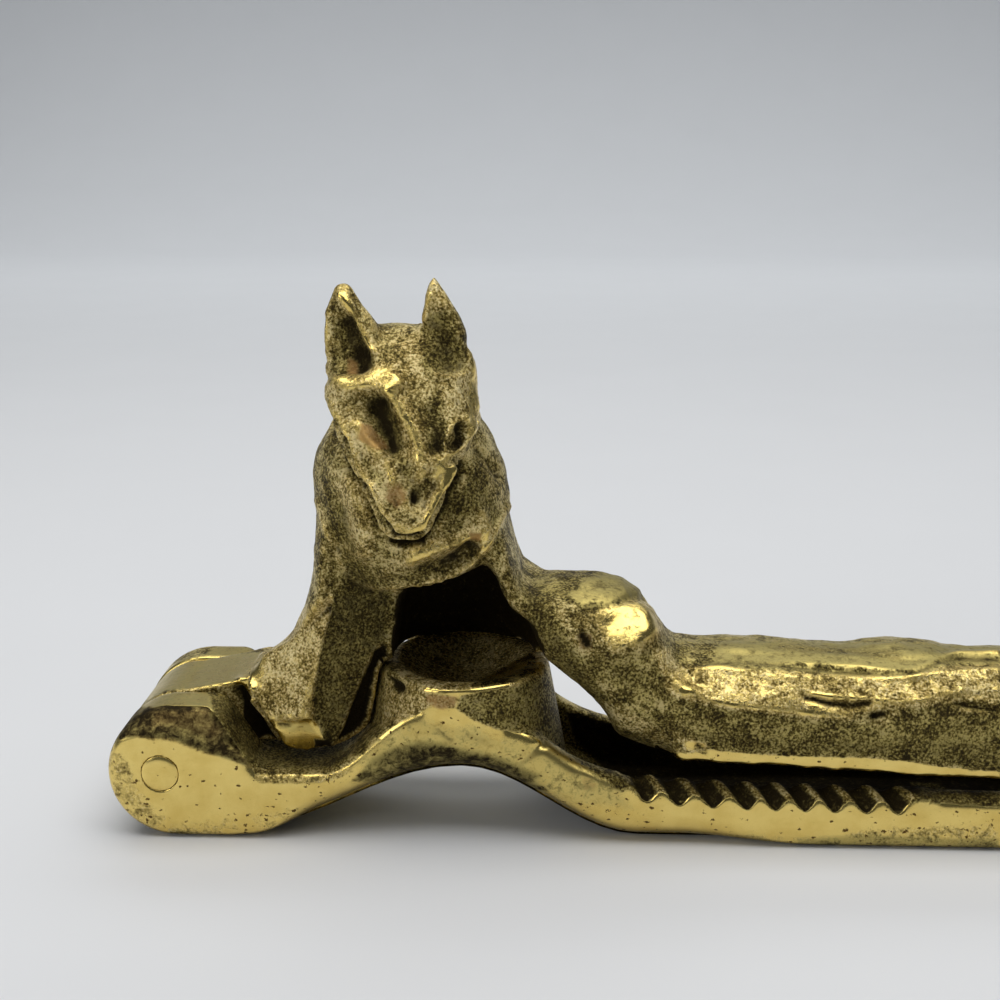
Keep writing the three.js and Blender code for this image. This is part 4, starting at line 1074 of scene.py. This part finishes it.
def rivet():
    """The rivet, peened flush with both ears, its ends slightly domed."""
    end = [(0.6 * RIVET_RADIUS, 0.3 * RIVET_DOME), (RIVET_RADIUS - RIVET_EDGE, RIVET_DOME),
           (RIVET_RADIUS, RIVET_DOME + RIVET_EDGE)]
    rings = [(radius, FRONT_FACE + depth) for radius, depth in end]
    rings += [(radius, BACK_FACE - depth) for radius, depth in reversed(end)]
    vertices, faces = [(0, FRONT_FACE, RIVET_HEIGHT)], []
    for radius, y in rings:
        for i in range(RIVET_SIDES):
            turn = 2 * math.pi * i / RIVET_SIDES
            vertices.append((radius * math.cos(turn), y, RIVET_HEIGHT + radius * math.sin(turn)))
    vertices.append((0, BACK_FACE, RIVET_HEIGHT))
    last = len(vertices) - 1
    for i in range(RIVET_SIDES):
        following = (i + 1) % RIVET_SIDES
        faces.append((0, 1 + i, 1 + following))
        for a in range(1, last - RIVET_SIDES, RIVET_SIDES):
            faces.append((a + following, a + i, a + RIVET_SIDES + i, a + RIVET_SIDES + following))
        a = last - RIVET_SIDES
        faces.append((last, a + following, a + i))
    mesh = bpy.data.meshes.new("rivet_brass")
    mesh.from_pydata(to_scene(np.array(vertices)).tolist(), [], faces)
    for name, value in zip(PAINTS, RIVET_FINISH):
        layer = mesh.attributes.new(name, "FLOAT", "POINT")
        layer.data.foreach_set("value", [value] * len(vertices))
    mesh.polygons.foreach_set("use_smooth", [True] * len(faces))
    mesh.materials.append(brass("rivet_brass_old"))
    mesh.update()
    piece = place_object("rivet", mesh)
    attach(piece, "base")
    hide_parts("hinge_pin")


def paper():
    made = Shading("paper_sweep")
    shader = made.tree.nodes["Principled BSDF"]
    mottle = made.noise(made.place(), size=60, detail=3)
    shade = tuple(SWEEP_SHADE * part for part in SWEEP_COLOUR)
    made.plug(shader.inputs["Base Color"], made.mix_colours(mottle, shade, SWEEP_COLOUR))
    shader.inputs["Roughness"].default_value = 0.6
    return made.material


def sweep():
    """A seamless paper sweep: the floor, bent up into the backdrop."""
    profile = [(SWEEP_FRONT, 0)]
    for i in range(SWEEP_STEPS + 1):
        turn = i / SWEEP_STEPS * math.pi / 2
        along, up = SWEEP_RADIUS * math.sin(turn), SWEEP_RADIUS - SWEEP_RADIUS * math.cos(turn)
        profile.append((SWEEP_BEND + along, up))
    profile.append((SWEEP_BEND + SWEEP_RADIUS, SWEEP_HEIGHT))
    vertices = [(side, y, z) for y, z in profile for side in (-SWEEP_HALF, SWEEP_HALF)]
    faces = [(2 * i, 2 * i + 1, 2 * i + 3, 2 * i + 2) for i in range(len(profile) - 1)]
    mesh = bpy.data.meshes.new("sweep")
    mesh.from_pydata(vertices, [], faces)
    mesh.polygons.foreach_set("use_smooth", [True] * len(faces))
    mesh.materials.append(paper())
    floor = place_object("sweep", mesh)


def lighting():
    world = bpy.data.worlds.new("studio")
    world.use_nodes = True
    background = world.node_tree.nodes["Background"]
    background.inputs["Color"].default_value = ROOM_COLOUR
    background.inputs["Strength"].default_value = ROOM_STRENGTH
    bpy.context.scene.world = world
    for name, (place, target, size, power, colour, spread) in SOFTBOXES.items():
        light = bpy.data.lights.new(name, "AREA")
        light.shape = "RECTANGLE"
        light.size, light.size_y = size
        light.energy = power
        light.color = colour
        light.spread = math.radians(spread)
        softbox = place_object(name, light)
        softbox.location = place
        softbox.rotation_euler = (Vector(target) - Vector(place)).to_track_quat("-Z", "Y").to_euler()
    bpy.context.scene.view_settings.view_transform = "Standard"


def camera():
    made = bpy.data.cameras.new("camera")
    made.sensor_width = SENSOR_WIDTH
    made.lens = FOCAL_PIXELS * SENSOR_WIDTH / VIEW_SIZE
    made.clip_start = 0.01
    made.clip_end = 20
    holder = place_object("camera", made)
    holder.location = to_scene(CAMERA_PLACE)
    holder.rotation_euler = (math.pi / 2 - CAMERA_PITCH, 0, -CAMERA_YAW)
    bpy.context.scene.camera = holder


lower_lever()
upper_lever()
rivet()
sweep()
lighting()
camera()
